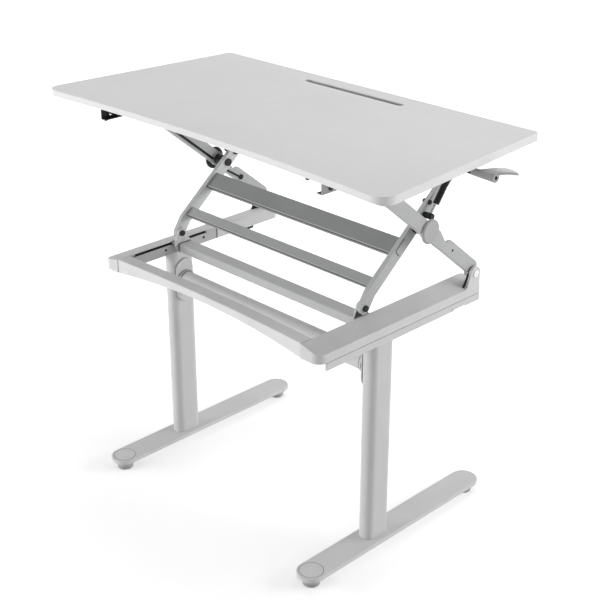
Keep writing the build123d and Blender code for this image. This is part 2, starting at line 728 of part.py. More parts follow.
# Carriage bar, a hollow box that joins the two sliding cheeks
CARRIAGE_FRONT_Y = FRONT_PIVOT_Y + CARRIAGE_LEAD
CARRIAGE_REAR_Y = CARRIAGE_FRONT_Y + CARRIAGE_DEPTH
CARRIAGE_MID = ((CARRIAGE_FRONT_Y + CARRIAGE_REAR_Y) / 2, CARRIAGE_TOP - CARRIAGE_TALL / 2)
with BuildPart() as carriage_bar:
    with BuildSketch(Plane.YZ.offset(-CHEEK_IN)):
        with Locations(CARRIAGE_MID):
            RectangleRounded(CARRIAGE_DEPTH, CARRIAGE_TALL, CARRIAGE_ROUND)
            Rectangle(CARRIAGE_DEPTH - 2 * SHEET, CARRIAGE_TALL - 2 * SHEET, mode=Mode.SUBTRACT)
    extrude(amount=2 * CHEEK_IN)
save(carriage_bar.part, "carriage_bar")


# Sliding cheeks hold the lower ends of the inner arms and run in the rail slots by a tongue
def build_cheek(side):
    bottom = CARRIAGE_TOP - CARRIAGE_TALL
    front = FRONT_PIVOT_Y - CHEEK_BASE / 2
    with BuildPart() as cheek:
        with BuildSketch(side_plane(side, CHEEK_IN, CHEEK_OUT)):
            with BuildLine():
                Polyline(
                    (front, TONGUE_BOTTOM - 2 * TONGUE_THICK),
                    (CARRIAGE_FRONT_Y, bottom),
                    (CARRIAGE_REAR_Y, bottom),
                    (CARRIAGE_REAR_Y, CARRIAGE_TOP),
                    (FRONT_PIVOT_Y + CHEEK_ROUND, PIVOT_LOW_Z),
                    (FRONT_PIVOT_Y - CHEEK_ROUND, PIVOT_LOW_Z),
                    (front, CARRIAGE_TOP),
                    close=True,
                )
            make_face()
            with Locations(LOW_A):
                Circle(CHEEK_ROUND)
                Circle(PIN_RADIUS + SEAT_FIT, mode=Mode.SUBTRACT)
        extrude(amount=CHEEK_OUT - CHEEK_IN)
        with BuildSketch(side_plane(side, CHEEK_OUT, TONGUE_REACH)):
            with Locations((FRONT_PIVOT_Y, TONGUE_BOTTOM + TONGUE_THICK / 2)):
                Rectangle(CHEEK_BASE, TONGUE_THICK)
        extrude(amount=TONGUE_REACH - CHEEK_OUT)
    return cheek.part


for side, word in SIDES:
    save(build_cheek(side), "carriage_cheek_" + word)


# A headed pin along X, with a head at each end where asked
def build_pins(place, radius, inner, outer, head_in, head_out, head_radius):
    with BuildPart() as pins:
        for side, word in SIDES:
            with BuildSketch(side_plane(side, inner, outer)):
                with Locations(place):
                    Circle(radius)
            extrude(amount=outer - inner)
            if head_in > 0:
                with BuildSketch(side_plane(side, inner - head_in, inner)):
                    with Locations(place):
                        Circle(head_radius)
                extrude(amount=head_in)
            if head_out > 0:
                with BuildSketch(side_plane(side, outer, outer + head_out)):
                    with Locations(place):
                        Circle(head_radius)
                extrude(amount=head_out)
    return pins.part


save(
    build_pins(LOW_A, PIN_RADIUS, CHEEK_IN, ARM_A_OUT + FACE_GAP, HEAD_THICK, HEAD_THICK, HEAD_RADIUS),
    "carriage_bolts",
)


# Inner arms are flat bars with a bend near each end
def build_inner_arm(side):
    bend = (HUB_Y - ARM_A_BEND_T * BODY_C, HUB_Z - ARM_A_BEND_T * BODY_S)
    bend_top = (HUB_Y + ARM_A_BEND_T * BODY_C, HUB_Z + ARM_A_BEND_T * BODY_S)
    hook = hypot(bend[0] - LOW_A[0], bend[1] - LOW_A[1])
    hook_angle = degrees(atan2(bend[1] - LOW_A[1], bend[0] - LOW_A[0]))
    low_mid = ((bend[0] + LOW_A[0]) / 2, (bend[1] + LOW_A[1]) / 2)
    top_mid = ((bend_top[0] + TOP_A[0]) / 2, (bend_top[1] + TOP_A[1]) / 2)
    stop = (
        HUB_Y + STOP_T * BODY_C - STOP_P * BODY_S,
        HUB_Z + STOP_T * BODY_S + STOP_P * BODY_C,
    )
    with BuildPart() as inner_arm:
        with BuildSketch(side_plane(side, ARM_A_IN, ARM_A_OUT)):
            with Locations(HUB):
                SlotCenterToCenter(2 * ARM_A_BEND_T, ARM_A_WIDE, rotation=BODY_ANGLE)
            with Locations(low_mid, top_mid):
                SlotCenterToCenter(hook, ARM_A_WIDE, rotation=hook_angle)
            with Locations(LOW_A, TOP_A):
                Circle(PIN_RADIUS + RUN_FIT, mode=Mode.SUBTRACT)
            with Locations(HUB):
                Circle(AXLE_RADIUS + RUN_FIT, mode=Mode.SUBTRACT)
            with Locations(SPRING_LOW):
                Circle(SMALL_PIN + SEAT_FIT, mode=Mode.SUBTRACT)
            with Locations(stop):
                Circle(STOP_RADIUS + SEAT_FIT, mode=Mode.SUBTRACT)
        extrude(amount=ARM_A_OUT - ARM_A_IN)
    return inner_arm.part


for side, word in SIDES:
    save(build_inner_arm(side), "inner_arm_" + word)


# Cross members are folded channels between the inner arms
def build_member(low, high):
    half = ARM_A_IN
    with BuildPart() as member:
        with BuildSketch(inner_arm_plane(-half)):
            with BuildLine():
                Polyline(
                    (low, MEMBER_FACE_P - MEMBER_DEPTH),
                    (low + MEMBER_SHEET, MEMBER_FACE_P - MEMBER_DEPTH),
                    (low + MEMBER_SHEET, MEMBER_FACE_P - MEMBER_SHEET),
                    (high - MEMBER_SHEET, MEMBER_FACE_P - MEMBER_SHEET),
                    (high - MEMBER_SHEET, MEMBER_FACE_P - MEMBER_DEPTH),
                    (high, MEMBER_FACE_P - MEMBER_DEPTH),
                    (high, MEMBER_FACE_P),
                    (low, MEMBER_FACE_P),
                    close=True,
                )
            make_face()
        extrude(amount=2 * half)
    return member.part


save(build_member(PANEL_FROM_T, PANEL_TO_T), "cross_panel")
save(build_member(MID_FROM_T, MID_TO_T), "cross_bar_middle")

STOP = (
    HUB_Y + STOP_T * BODY_C - STOP_P * BODY_S,
    HUB_Z + STOP_T * BODY_S + STOP_P * BODY_C,
)
save(build_pins(STOP, STOP_RADIUS, ARM_A_IN, ARM_A_OUT, HEAD_THICK, HEAD_THICK, STOP_HEAD), "stop_bolts")


# Outer arms are channels with a narrow slot on the upper half and an open plate below
def build_outer_arm(side):
    half = ARM_B_WIDE / 2
    end = PIVOT_T - END_RADIUS / 2
    web_in = ARM_B_OUT - ARM_B_WEB
    lip = ARM_B_IN + ARM_B_WALL
    with BuildPart() as outer_arm:
        with BuildSketch(outer_arm_plane(start(side, web_in, ARM_B_OUT))) as web:
            Rectangle(2 * end, ARM_B_WIDE)
            with Locations((PIVOT_T, -PIVOT_P), (-PIVOT_T, PIVOT_P)):
                Circle(END_RADIUS)
            with Locations((end, 0), (-end, 0)):
                Circle(half)
            with BuildLine():
                Polyline(
                    (NOTCH_START_T, half),
                    (NOTCH_DEEP_T, NOTCH_P),
                    (NOTCH_END_T, half),
                    close=True,
                )
            make_face(mode=Mode.SUBTRACT)
            fillet(web.vertices().sort_by_distance((NOTCH_END_T, half))[0], NOTCH_ROUND)
            fillet(web.vertices().sort_by_distance((NOTCH_DEEP_T, NOTCH_P))[0], NOTCH_DIP)
        extrude(amount=ARM_B_WEB)
        with BuildSketch(outer_arm_plane(start(side, ARM_B_IN, web_in))):
            with Locations(((CHANNEL_END_T - end) / 2, half - ARM_B_WALL / 2)):
                Rectangle(CHANNEL_END_T + end, ARM_B_WALL)
            with Locations((0, -half + ARM_B_WALL / 2)):
                Rectangle(2 * end, ARM_B_WALL)
            Circle(HUB_BOSS)
            with Locations((PIVOT_T, -PIVOT_P), (-PIVOT_T, PIVOT_P)):
                Circle(BOSS_RADIUS)
        extrude(amount=web_in - ARM_B_IN)
        with BuildSketch(outer_arm_plane(start(side, ARM_B_IN, lip))):
            with Locations(((CHANNEL_END_T - end) / 2, 0)):
                Rectangle(CHANNEL_END_T + end, ARM_B_WIDE)
                Rectangle(CHANNEL_END_T + end, ARM_B_SLOT, mode=Mode.SUBTRACT)
        extrude(amount=ARM_B_WALL)
        with BuildSketch(outer_arm_plane(start(side, ARM_B_IN, ARM_B_OUT))):
            Circle(AXLE_RADIUS + SEAT_FIT)
            with Locations((PIVOT_T, -PIVOT_P)):
                Circle(EAR_PIN_RADIUS + RUN_FIT)
            with Locations((-PIVOT_T, PIVOT_P)):
                Circle(PIN_RADIUS + RUN_FIT)
            with Locations((PLATE_BOLT_T, 0)):
                Circle(STOP_RADIUS + SEAT_FIT)
        extrude(amount=ARM_B_OUT - ARM_B_IN, mode=Mode.SUBTRACT)
    return outer_arm.part


# Hub caps cover the crossing on the outside
def build_hub_cap(side):
    with BuildPart() as hub_cap:
        with BuildSketch(side_plane(side, ARM_B_OUT, ARM_B_OUT + HUB_CAP_THICK)):
            with Locations(HUB):
                Circle(HUB_CAP_RADIUS)
        extrude(amount=HUB_CAP_THICK)
        outside = hub_cap.faces().sort_by(Axis.X)[-1 if side > 0 else 0]
        chamfer(outside.edges(), HUB_CAP_LIP)
    return hub_cap.part


# Hub axles hold the arms apart at the crossing and turn with the outer arms
def build_hub_axle(side):
    with BuildPart() as hub_axle:
        with BuildSketch(side_plane(side, ARM_A_IN - FACE_GAP, ARM_B_OUT)):
            with Locations(HUB):
                Circle(AXLE_RADIUS)
        extrude(amount=ARM_B_OUT - ARM_A_IN + FACE_GAP)
        with BuildSketch(side_plane(side, ARM_A_OUT + FACE_GAP, ARM_B_IN)):
            with Locations(HUB):
                Circle(SPACER_RADIUS)
        extrude(amount=ARM_B_IN - ARM_A_OUT - FACE_GAP)
        with BuildSketch(side_plane(side, ARM_A_IN - FACE_GAP - HEAD_THICK, ARM_A_IN - FACE_GAP)):
            with Locations(HUB):
                Circle(AXLE_HEAD)
        extrude(amount=HEAD_THICK)
    return hub_axle.part


for side, word in SIDES:
    save(build_outer_arm(side), "outer_arm_" + word)
    save(build_hub_cap(side), "hub_cap_" + word)
    save(build_hub_axle(side), "hub_axle_" + word)

PLATE_BOLT = (HUB_Y + PLATE_BOLT_T * BODY_C, HUB_Z - PLATE_BOLT_T * BODY_S)
WEB_IN = ARM_B_OUT - ARM_B_WEB
save(build_pins(PLATE_BOLT, STOP_RADIUS, WEB_IN, ARM_B_OUT, HEAD_THICK, 0, STOP_HEAD), "plate_bolts")
save(build_pins(LOW_B, EAR_PIN_RADIUS, ARM_B_IN, RAIL_OUT, 0, SHEET, EAR_CAP_RADIUS), "ear_pins")


# Top sliders hang from the desktop rails and carry the upper ends of the outer arms
def build_slider(side):
    top = DESK_UNDER - TOP_RAIL_WALL - FACE_GAP
    bottom = DESK_UNDER - TOP_RAIL_TALL + TOP_RAIL_WALL + FACE_GAP
    reach = TOP_RAIL_OUT - TOP_RAIL_WALL - FACE_GAP
    with BuildPart() as slider:
        with BuildSketch(side_plane(side, SLIDER_IN, SLIDER_OUT)):
            with BuildLine():
                Polyline(
                    (FRONT_PIVOT_Y - BOSS_RADIUS, PIVOT_HIGH_Z),
                    (FRONT_PIVOT_Y + BOSS_RADIUS, PIVOT_HIGH_Z),
                    (FRONT_PIVOT_Y + SLIDER_HALF, bottom),
                    (FRONT_PIVOT_Y + SLIDER_HALF, top),
                    (FRONT_PIVOT_Y - SLIDER_HALF, top),
                    (FRONT_PIVOT_Y - SLIDER_HALF, bottom),
                    close=True,
                )
            make_face()
            with Locations(TOP_B):
                Circle(BOSS_RADIUS)
                Circle(PIN_RADIUS + SEAT_FIT, mode=Mode.SUBTRACT)
        extrude(amount=SLIDER_OUT - SLIDER_IN)
        with BuildSketch(side_plane(side, SLIDER_OUT, reach)):
            with Locations((FRONT_PIVOT_Y, (top + bottom) / 2)):
                Rectangle(2 * SLIDER_HALF, top - bottom)
        extrude(amount=reach - SLIDER_OUT)
    return slider.part


for side, word in SIDES:
    save(build_slider(side), "top_slider_" + word)
save(
    build_pins(TOP_B, PIN_RADIUS, SLIDER_IN, ARM_B_OUT + FACE_GAP, HEAD_THICK, SHEET, HEAD_RADIUS),
    "slider_pins",
)

DESK_MID_Y = DESK_FRONT_Y + DESK_BOW
DESK_BOW_RADIUS = (DESK_FRONT_HALF**2 + DESK_BOW**2) / (2 * DESK_BOW)

# Desktop with a concave front edge, rounded front corners and a slot along the back
with BuildPart() as desktop:
    with BuildSketch(Plane.XY.offset(DESK_UNDER)) as plan:
        with BuildLine():
            ThreePointArc(
                (-DESK_FRONT_HALF, DESK_FRONT_Y),
                (0, DESK_FRONT_Y + DESK_BOW),
                (DESK_FRONT_HALF, DESK_FRONT_Y),
            )
            Polyline(
                (DESK_FRONT_HALF, DESK_FRONT_Y),
                (DESK_BACK_HALF, DESK_BACK_Y),
                (-DESK_BACK_HALF, DESK_BACK_Y),
                (-DESK_FRONT_HALF, DESK_FRONT_Y),
            )
        make_face()
        fillet(plan.vertices().group_by(Axis.Y)[0], DESK_CORNER)
        fillet(plan.vertices().group_by(Axis.Y)[-1], DESK_BACK_CORNER)
    extrude(amount=DESK_THICK)
    fillet(desktop.edges().group_by(Axis.Z)[-1], DESK_ROUND)
    with BuildSketch(Plane.XY.offset(DESK_TOP)):
        with Locations((0, SLOT_Y)):
            SlotOverall(SLOT_LONG, SLOT_WIDE)
    extrude(amount=-SLOT_DEEP, mode=Mode.SUBTRACT)
    rim = desktop.faces().group_by(Axis.Z)[-1][0].inner_wires()[0].edges()
    chamfer(rim, SLOT_RIM)
    with BuildSketch(Plane.YZ):
        with BuildLine():
            Polyline(
                (DESK_MID_Y - BEVEL_UP, DESK_UNDER - BEVEL_UP),
                (DESK_MID_Y + BEVEL_IN, DESK_UNDER - BEVEL_UP),
                (DESK_MID_Y + BEVEL_IN, DESK_UNDER),
                (DESK_MID_Y, DESK_UNDER + BEVEL_UP),
                (DESK_MID_Y - BEVEL_UP, DESK_UNDER + BEVEL_UP),
                close=True,
            )
        make_face()
    revolve(axis=Axis((0, DESK_MID_Y - DESK_BOW_RADIUS, 0), (0, 0, 1)), mode=Mode.SUBTRACT)
save(desktop.part, "desktop")


# Rails under the desktop are channels open to the inside
def build_top_rail(side):
    inner = side * TOP_RAIL_IN
    outer = side * TOP_RAIL_OUT
    web = side * (TOP_RAIL_OUT - TOP_RAIL_WALL)
    low = DESK_UNDER - TOP_RAIL_TALL
    with BuildPart() as top_rail:
        with BuildSketch(Plane.XZ.offset(-TOP_RAIL_REAR_Y)):
            with BuildLine():
                Polyline(
                    (inner, low),
                    (outer, low),
                    (outer, DESK_UNDER),
                    (inner, DESK_UNDER),
                    (inner, DESK_UNDER - TOP_RAIL_WALL),
                    (web, DESK_UNDER - TOP_RAIL_WALL),
                    (web, low + TOP_RAIL_WALL),
                    (inner, low + TOP_RAIL_WALL),
                    close=True,
                )
            make_face()
        extrude(amount=TOP_RAIL_REAR_Y - TOP_RAIL_FRONT_Y)
    return top_rail.part


# Rear brackets hang the desktop on the inner arms and anchor the gas springs
def build_bracket(side):
    with BuildPart() as bracket:
        with BuildSketch(Plane.XY.offset(DESK_UNDER - BRACKET_PLATE)):
            with BuildLine():
                Polyline(
                    (side * CHEEK_IN, BRACKET_FRONT_Y),
                    (side * BRACKET_PLATE_OUT, BRACKET_FRONT_Y),
                    (side * BRACKET_PLATE_OUT, BRACKET_REAR_Y),
                    (side * CHEEK_IN, BRACKET_REAR_Y),
                    close=True,
                )
            make_face()
        extrude(amount=BRACKET_PLATE)
        for inner, outer in ((CHEEK_IN, CHEEK_OUT), (BRACKET_MID_IN, BRACKET_MID_OUT)):
            with BuildSketch(side_plane(side, inner, outer)):
                with BuildLine():
                    Polyline(
                        (BRACKET_FRONT_Y, DESK_UNDER - BRACKET_PLATE),
                        (REAR_PIVOT_Y - BRACKET_END, PIVOT_HIGH_Z),
                        (REAR_PIVOT_Y + BRACKET_END, PIVOT_HIGH_Z),
                        (BRACKET_REAR_Y, DESK_UNDER - BRACKET_PLATE),
                        close=True,
                    )
                make_face()
                with Locations(TOP_A):
                    Circle(BRACKET_END)
                    Circle(PIN_RADIUS + SEAT_FIT, mode=Mode.SUBTRACT)
                with Locations((SPRING_TOP_Y, SPRING_TOP_Z)):
                    Circle(SMALL_PIN + SEAT_FIT, mode=Mode.SUBTRACT)
            extrude(amount=outer - inner)
    return bracket.part


for side, word in SIDES:
    save(build_top_rail(side), "top_rail_" + word)
    save(build_bracket(side), "rear_bracket_" + word)
save(build_pins(TOP_A, PIN_RADIUS, CHEEK_IN, BRACKET_MID_OUT, HEAD_THICK, 0, HEAD_RADIUS), "rear_pins")

RAIL_BOLT = (TOP_RAIL_FRONT_Y + TOP_RAIL_BOLT_BACK, DESK_UNDER - TOP_RAIL_BOLT_DROP)
RAIL_WEB = TOP_RAIL_OUT - TOP_RAIL_WALL
with BuildPart() as rail_bolts:
    for side, word in SIDES:
        with BuildSketch(side_plane(side, TOP_RAIL_OUT, TOP_RAIL_OUT + SHEET)):
            with Locations(RAIL_BOLT):
                Circle(STOP_HEAD)
        extrude(amount=SHEET)
        with BuildSketch(side_plane(side, RAIL_WEB - SHEET, RAIL_WEB)):
            with Locations(RAIL_BOLT):
                Circle(STOP_HEAD)
        extrude(amount=SHEET)
save(rail_bolts.part, "top_rail_bolts")


# A plane across a gas spring at a distance from the low eye
def across_plane(side, along):
    return Plane(
        origin=(
            side * SPRING_X,
            SPRING_LOW[0] + along * cos(SPRING_ANGLE),
            SPRING_LOW[1] + along * sin(SPRING_ANGLE),
        ),
        x_dir=(1, 0, 0),
        z_dir=(0, cos(SPRING_ANGLE), sin(SPRING_ANGLE)),
    )


# Gas spring cylinders hang from the rear brackets, open at the mouth for the rod
def build_gas_cylinder(side):
    with BuildPart() as gas_cylinder:
        with BuildSketch(across_plane(side, MOUTH_FROM_LOW)):
            Circle(CYLINDER_RADIUS)
        extrude(amount=CYLINDER_END - MOUTH_FROM_LOW)
        with BuildSketch(across_plane(side, MOUTH_FROM_LOW)):
            Circle(CYLINDER_BORE)
        extrude(amount=BORE_END - MOUTH_FROM_LOW, mode=Mode.SUBTRACT)
        with BuildSketch(across_plane(side, CYLINDER_END)):
            Circle(ROD_RADIUS)
        extrude(amount=EYE_RADIUS + SMALL_PIN)
        with BuildSketch(side_plane(side, SPRING_X - EYE_HALF, SPRING_X + EYE_HALF)):
            with Locations((SPRING_TOP_Y, SPRING_TOP_Z)):
                Circle(EYE_RADIUS)
        extrude(amount=2 * EYE_HALF)
        with BuildSketch(side_plane(side, SPRING_X - CYLINDER_RADIUS, SPRING_X + CYLINDER_RADIUS)):
            with Locations((SPRING_TOP_Y, SPRING_TOP_Z)):
                Circle(SMALL_PIN + RUN_FIT)
        extrude(amount=2 * CYLINDER_RADIUS, mode=Mode.SUBTRACT)
    return gas_cylinder.part


for side, word in SIDES:
    save(build_gas_cylinder(side), "gas_cylinder_" + word)

# Gas spring rods slide in the cylinders
with BuildPart() as gas_rods:
    for side, word in SIDES:
        with BuildSketch(across_plane(side, EYE_RADIUS)):
            Circle(ROD_RADIUS)
        extrude(amount=ROD_LONG)
save(gas_rods.part, "gas_rods")

# Rod ends join the rods to the inner arms
with BuildPart() as rod_ends:
    for side, word in SIDES:
        with BuildSketch(side_plane(side, SPRING_X - EYE_HALF, SPRING_X + EYE_HALF)):
            with Locations(SPRING_LOW):
                Circle(EYE_RADIUS)
                Circle(SMALL_PIN + RUN_FIT, mode=Mode.SUBTRACT)
        extrude(amount=2 * EYE_HALF)
save(rod_ends.part, "rod_ends")

# Spring bolts hold the rod ends off the inner arms with a spacer
with BuildPart() as spring_bolts:
    for side, word in SIDES:
        stations = (
            (ARM_A_IN - HEAD_THICK, ARM_A_IN, HEAD_RADIUS),
            (ARM_A_IN, SPRING_X + EYE_HALF + FACE_GAP, SMALL_PIN),
            (ARM_A_OUT, SPRING_X - EYE_HALF - FACE_GAP, HEAD_RADIUS),
            (SPRING_X + EYE_HALF + FACE_GAP, SPRING_X + EYE_HALF + FACE_GAP + SHEET, HEAD_RADIUS),
        )
        for inner, outer, radius in stations:
            with BuildSketch(side_plane(side, inner, outer)):
                with Locations(SPRING_LOW):
                    Circle(radius)
            extrude(amount=outer - inner)
save(spring_bolts.part, "spring_bolts")

save(
    build_pins(
        (SPRING_TOP_Y, SPRING_TOP_Z),
        SMALL_PIN,
        BRACKET_MID_IN,
        SPRING_X + EYE_HALF + FACE_GAP,
        0,
        SHEET,
        HEAD_RADIUS,
    ),
    "spring_pins",
)

# Handle mount under the desktop
with BuildPart() as handle_mount:
    with BuildSketch(Plane.YZ.offset(MOUNT_IN_X)):
        with BuildLine():
            Polyline(
                (HANDLE_Y - 2 * MOUNT_HALF, DESK_UNDER),
                (HANDLE_Y - 2 * MOUNT_HALF, DESK_UNDER - BRACKET_PLATE),
                (HANDLE_Y - MOUNT_HALF, DESK_UNDER - BRACKET_PLATE),
                (HANDLE_Y - MOUNT_HALF, HANDLE_Z),
                (HANDLE_Y + MOUNT_HALF, HANDLE_Z),
                (HANDLE_Y + MOUNT_HALF, DESK_UNDER - BRACKET_PLATE),
                (HANDLE_Y + 2 * MOUNT_HALF, DESK_UNDER - BRACKET_PLATE),
                (HANDLE_Y + 2 * MOUNT_HALF, DESK_UNDER),
                close=True,
            )
        make_face()
        with Locations((HANDLE_Y, HANDLE_Z)):
            Circle(MOUNT_ROUND)
            Circle(HANDLE_SHAFT + RUN_FIT, mode=Mode.SUBTRACT)
    extrude(amount=MOUNT_OUT_X - MOUNT_IN_X)
save(handle_mount.part, "handle_mount")

# Release handle, a tapered grip with a leaf shaped paddle, turning on a shaft in the mount
with BuildPart() as handle:
    with BuildSketch(Plane.YZ.offset(HANDLE_START_X)):
        with Locations((HANDLE_Y, HANDLE_Z)):
            Circle(HANDLE_SMALL)
    with BuildSketch(Plane.YZ.offset(HANDLE_END_X)):
        with Locations((HANDLE_Y, HANDLE_Z)):
            Circle(HANDLE_LARGE)
    loft()
    with BuildSketch(Plane.XY.offset(HANDLE_Z + PADDLE_LIFT)):
        with BuildLine():
            Spline([(HANDLE_END_X + out, HANDLE_Y + back) for out, back in PADDLE_FRONT])
            Spline([(HANDLE_END_X + out, HANDLE_Y + back) for out, back in PADDLE_BACK])
            Line(
                (HANDLE_END_X + PADDLE_BACK[-1][0], HANDLE_Y + PADDLE_BACK[-1][1]),
                (HANDLE_END_X + PADDLE_FRONT[0][0], HANDLE_Y + PADDLE_FRONT[0][1]),
            )
        make_face()
    extrude(amount=PADDLE_THICK)
    with BuildSketch(Plane.YZ.offset(HANDLE_END_X)):
        with Locations((HANDLE_Y, HANDLE_Z)):
            Circle(HANDLE_HOLE)
    extrude(amount=-HANDLE_HOLE_DEEP, mode=Mode.SUBTRACT)
    with BuildSketch(Plane.YZ.offset(MOUNT_IN_X)):
        with Locations((HANDLE_Y, HANDLE_Z)):
            Circle(HANDLE_SHAFT)
    extrude(amount=HANDLE_START_X - MOUNT_IN_X)
save(handle.part, "handle")

# Black collar on the handle shaft next to the grip
with BuildPart() as handle_collar:
    with BuildSketch(Plane.YZ.offset(HANDLE_START_X - HANDLE_COLLAR_LONG)):
        with Locations((HANDLE_Y, HANDLE_Z)):
            Circle(HANDLE_COLLAR)
            Circle(HANDLE_SHAFT + SEAT_FIT, mode=Mode.SUBTRACT)
    extrude(amount=HANDLE_COLLAR_LONG)
save(handle_collar.part, "handle_collar")

# The row's origin is under the middle of the overall width, which the handle makes wider on the right
MIDDLE_X = (desktop.part.bounding_box().min.X + handle.part.bounding_box().max.X) / 2
for piece, label in pieces:
    placed = Pos(-MIDDLE_X, 0, 0) * piece
    placed.label = label
    export_step(placed, "parts/" + label + ".step")
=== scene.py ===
import json
import math
import bmesh
import bpy
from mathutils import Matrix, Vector


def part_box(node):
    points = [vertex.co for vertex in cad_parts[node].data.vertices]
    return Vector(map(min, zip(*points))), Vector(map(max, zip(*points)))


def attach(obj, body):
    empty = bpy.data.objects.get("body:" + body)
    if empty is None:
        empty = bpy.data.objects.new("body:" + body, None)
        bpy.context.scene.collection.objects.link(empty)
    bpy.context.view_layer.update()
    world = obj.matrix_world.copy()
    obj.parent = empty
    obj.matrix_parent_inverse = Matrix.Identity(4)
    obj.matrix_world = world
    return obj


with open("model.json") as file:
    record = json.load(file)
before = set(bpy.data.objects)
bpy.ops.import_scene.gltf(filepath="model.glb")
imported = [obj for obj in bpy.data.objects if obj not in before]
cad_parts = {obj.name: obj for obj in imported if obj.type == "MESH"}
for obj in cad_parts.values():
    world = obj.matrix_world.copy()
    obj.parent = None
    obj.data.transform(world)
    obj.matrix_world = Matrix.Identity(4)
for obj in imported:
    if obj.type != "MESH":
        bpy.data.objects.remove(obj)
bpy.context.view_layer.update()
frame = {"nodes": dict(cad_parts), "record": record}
nodes = frame["nodes"]
scene = bpy.context.scene

# The plane midway between the feet, the top of the desk and the joints, in metres
MID = (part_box("foot_left")[0].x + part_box("foot_right")[1].x) / 2
TOP_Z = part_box("desktop")[1].z
JOINTS = {joint["name"]: joint["pos_m"] for joint in frame["record"]["behaviour"]["joints"]}

# The slot in the worktop for a tablet: its middle, half its size at the foot of its rim,
# the depth below which shade is painted dark, and how softly the painted shade begins, in metres
SLOT_Y = 0.226
SLOT_HALF_LONG = 0.1745
SLOT_HALF_WIDE = 0.0105
SLOT_SHADE = 0.0068
SLOT_SOFT_DOWN = 0.0004
SLOT_SOFT_SIDE = 0.0005

# The values between which a noise spends most of its time, and how rough each noise is
NOISE_LOW = 0.3
NOISE_HIGH = 0.7
NOISE_ROUGHNESS = 0.55


# Node tree helpers
def new_material(name):
    material = bpy.data.materials.new(name)
    material.use_nodes = True
    tree = material.node_tree
    return material, tree, tree.nodes["Principled BSDF"]


def add(tree, kind, **settings):
    node = tree.nodes.new(kind)
    for key, value in settings.items():
        setattr(node, key, value)
    return node


def place(tree, stretch=(1.0, 1.0, 1.0)):
    # Places on the part in metres, stretched along the axes
    coords = add(tree, "ShaderNodeTexCoord")
    mapping = add(tree, "ShaderNodeMapping")
    mapping.inputs["Scale"].default_value = stretch
    tree.links.new(coords.outputs["Object"], mapping.inputs["Vector"])
    return mapping.outputs["Vector"]


def split(tree, vector):
    # The X, Y and Z of a vector
    node = add(tree, "ShaderNodeSeparateXYZ")
    tree.links.new(vector, node.inputs["Vector"])
    return node.outputs


def facing(tree):
    # The X, Y and Z of the direction that a surface looks in
    return split(tree, add(tree, "ShaderNodeNewGeometry").outputs["Normal"])


def noise(tree, vector, scale, detail):
    node = add(tree, "ShaderNodeTexNoise")
    node.inputs["Scale"].default_value = scale
    node.inputs["Detail"].default_value = detail
    node.inputs["Roughness"].default_value = NOISE_ROUGHNESS
    tree.links.new(vector, node.inputs["Vector"])
    return node.outputs["Fac"]


def span(tree, value, low, high, start=NOISE_LOW, end=NOISE_HIGH):
    # A value that goes from low to high as another one goes from start to end
    node = add(tree, "ShaderNodeMapRange")
    node.inputs["From Min"].default_value = start
    node.inputs["From Max"].default_value = end
    node.inputs["To Min"].default_value = low
    node.inputs["To Max"].default_value = high
    tree.links.new(value, node.inputs["Value"])
    return node.outputs["Result"]


def varied(tree, vector, scale, detail, low, high):
    # A factor that wanders between two values
    return span(tree, noise(tree, vector, scale, detail), low, high)


def math_node(tree, operation, first, second=0.0):
    node = add(tree, "ShaderNodeMath", operation=operation)
    for index, value in enumerate((first, second)):
        if isinstance(value, (int, float)):
            node.inputs[index].default_value = value
        else:
            tree.links.new(value, node.inputs[index])
    return node.outputs["Value"]


def times(tree, *factors):
    product = factors[0]
    for factor in factors[1:]:
        product = math_node(tree, "MULTIPLY", product, factor)
    return product


def away_from(tree, value, middle):
    # How far a value is from another one, either way
    return math_node(tree, "ABSOLUTE", math_node(tree, "SUBTRACT", value, middle))


def shade(tree, colour, factor):
    # A colour times a varying factor
    node = add(tree, "ShaderNodeVectorMath", operation="SCALE")
    if isinstance(colour, tuple):
        node.inputs[0].default_value = colour
    else:
        tree.links.new(colour, node.inputs[0])
    tree.links.new(factor, node.inputs["Scale"])
    return node.outputs["Vector"]


def mix(tree, factor, first, second):
    # The first colour where the factor is zero, and the second where it is one
    node = add(tree, "ShaderNodeMix", data_type="RGBA")
    tree.links.new(factor, node.inputs[0])
    for socket, value in ((node.inputs[6], first), (node.inputs[7], second)):
        if isinstance(value, tuple):
            socket.default_value = value + (1.0,)
        else:
            tree.links.new(value, socket)
    return node.outputs[2]


def soft_edges(tree, radius):
    node = add(tree, "ShaderNodeBevel", samples=4)
    node.inputs["Radius"].default_value = radius
    return node.outputs["Normal"]


def edge_highlight(tree, bent, most):
    # A painted highlight: a factor of one that grows where the softened normal leaves the flat
    # one, along edges
    geometry = add(tree, "ShaderNodeNewGeometry")
    dot = add(tree, "ShaderNodeVectorMath", operation="DOT_PRODUCT")
    tree.links.new(geometry.outputs["Normal"], dot.inputs[0])
    tree.links.new(bent, dot.inputs[1])
    mask = span(tree, dot.outputs["Value"], 1.0, 0.0, start=0.75, end=0.99)
    return span(tree, mask, 1.0, most, start=0.0, end=1.0)


def bump(tree, height, strength, distance, normal=None):
    node = add(tree, "ShaderNodeBump")
    node.inputs["Strength"].default_value = strength
    node.inputs["Distance"].default_value = distance
    tree.links.new(height, node.inputs["Height"])
    if normal is not None:
        tree.links.new(normal, node.inputs["Normal"])
    return node.outputs["Normal"]


def connect(tree, shader, colour, rough, normal):
    tree.links.new(colour, shader.inputs["Base Color"])
    tree.links.new(rough, shader.inputs["Roughness"])
    tree.links.new(normal, shader.inputs["Normal"])


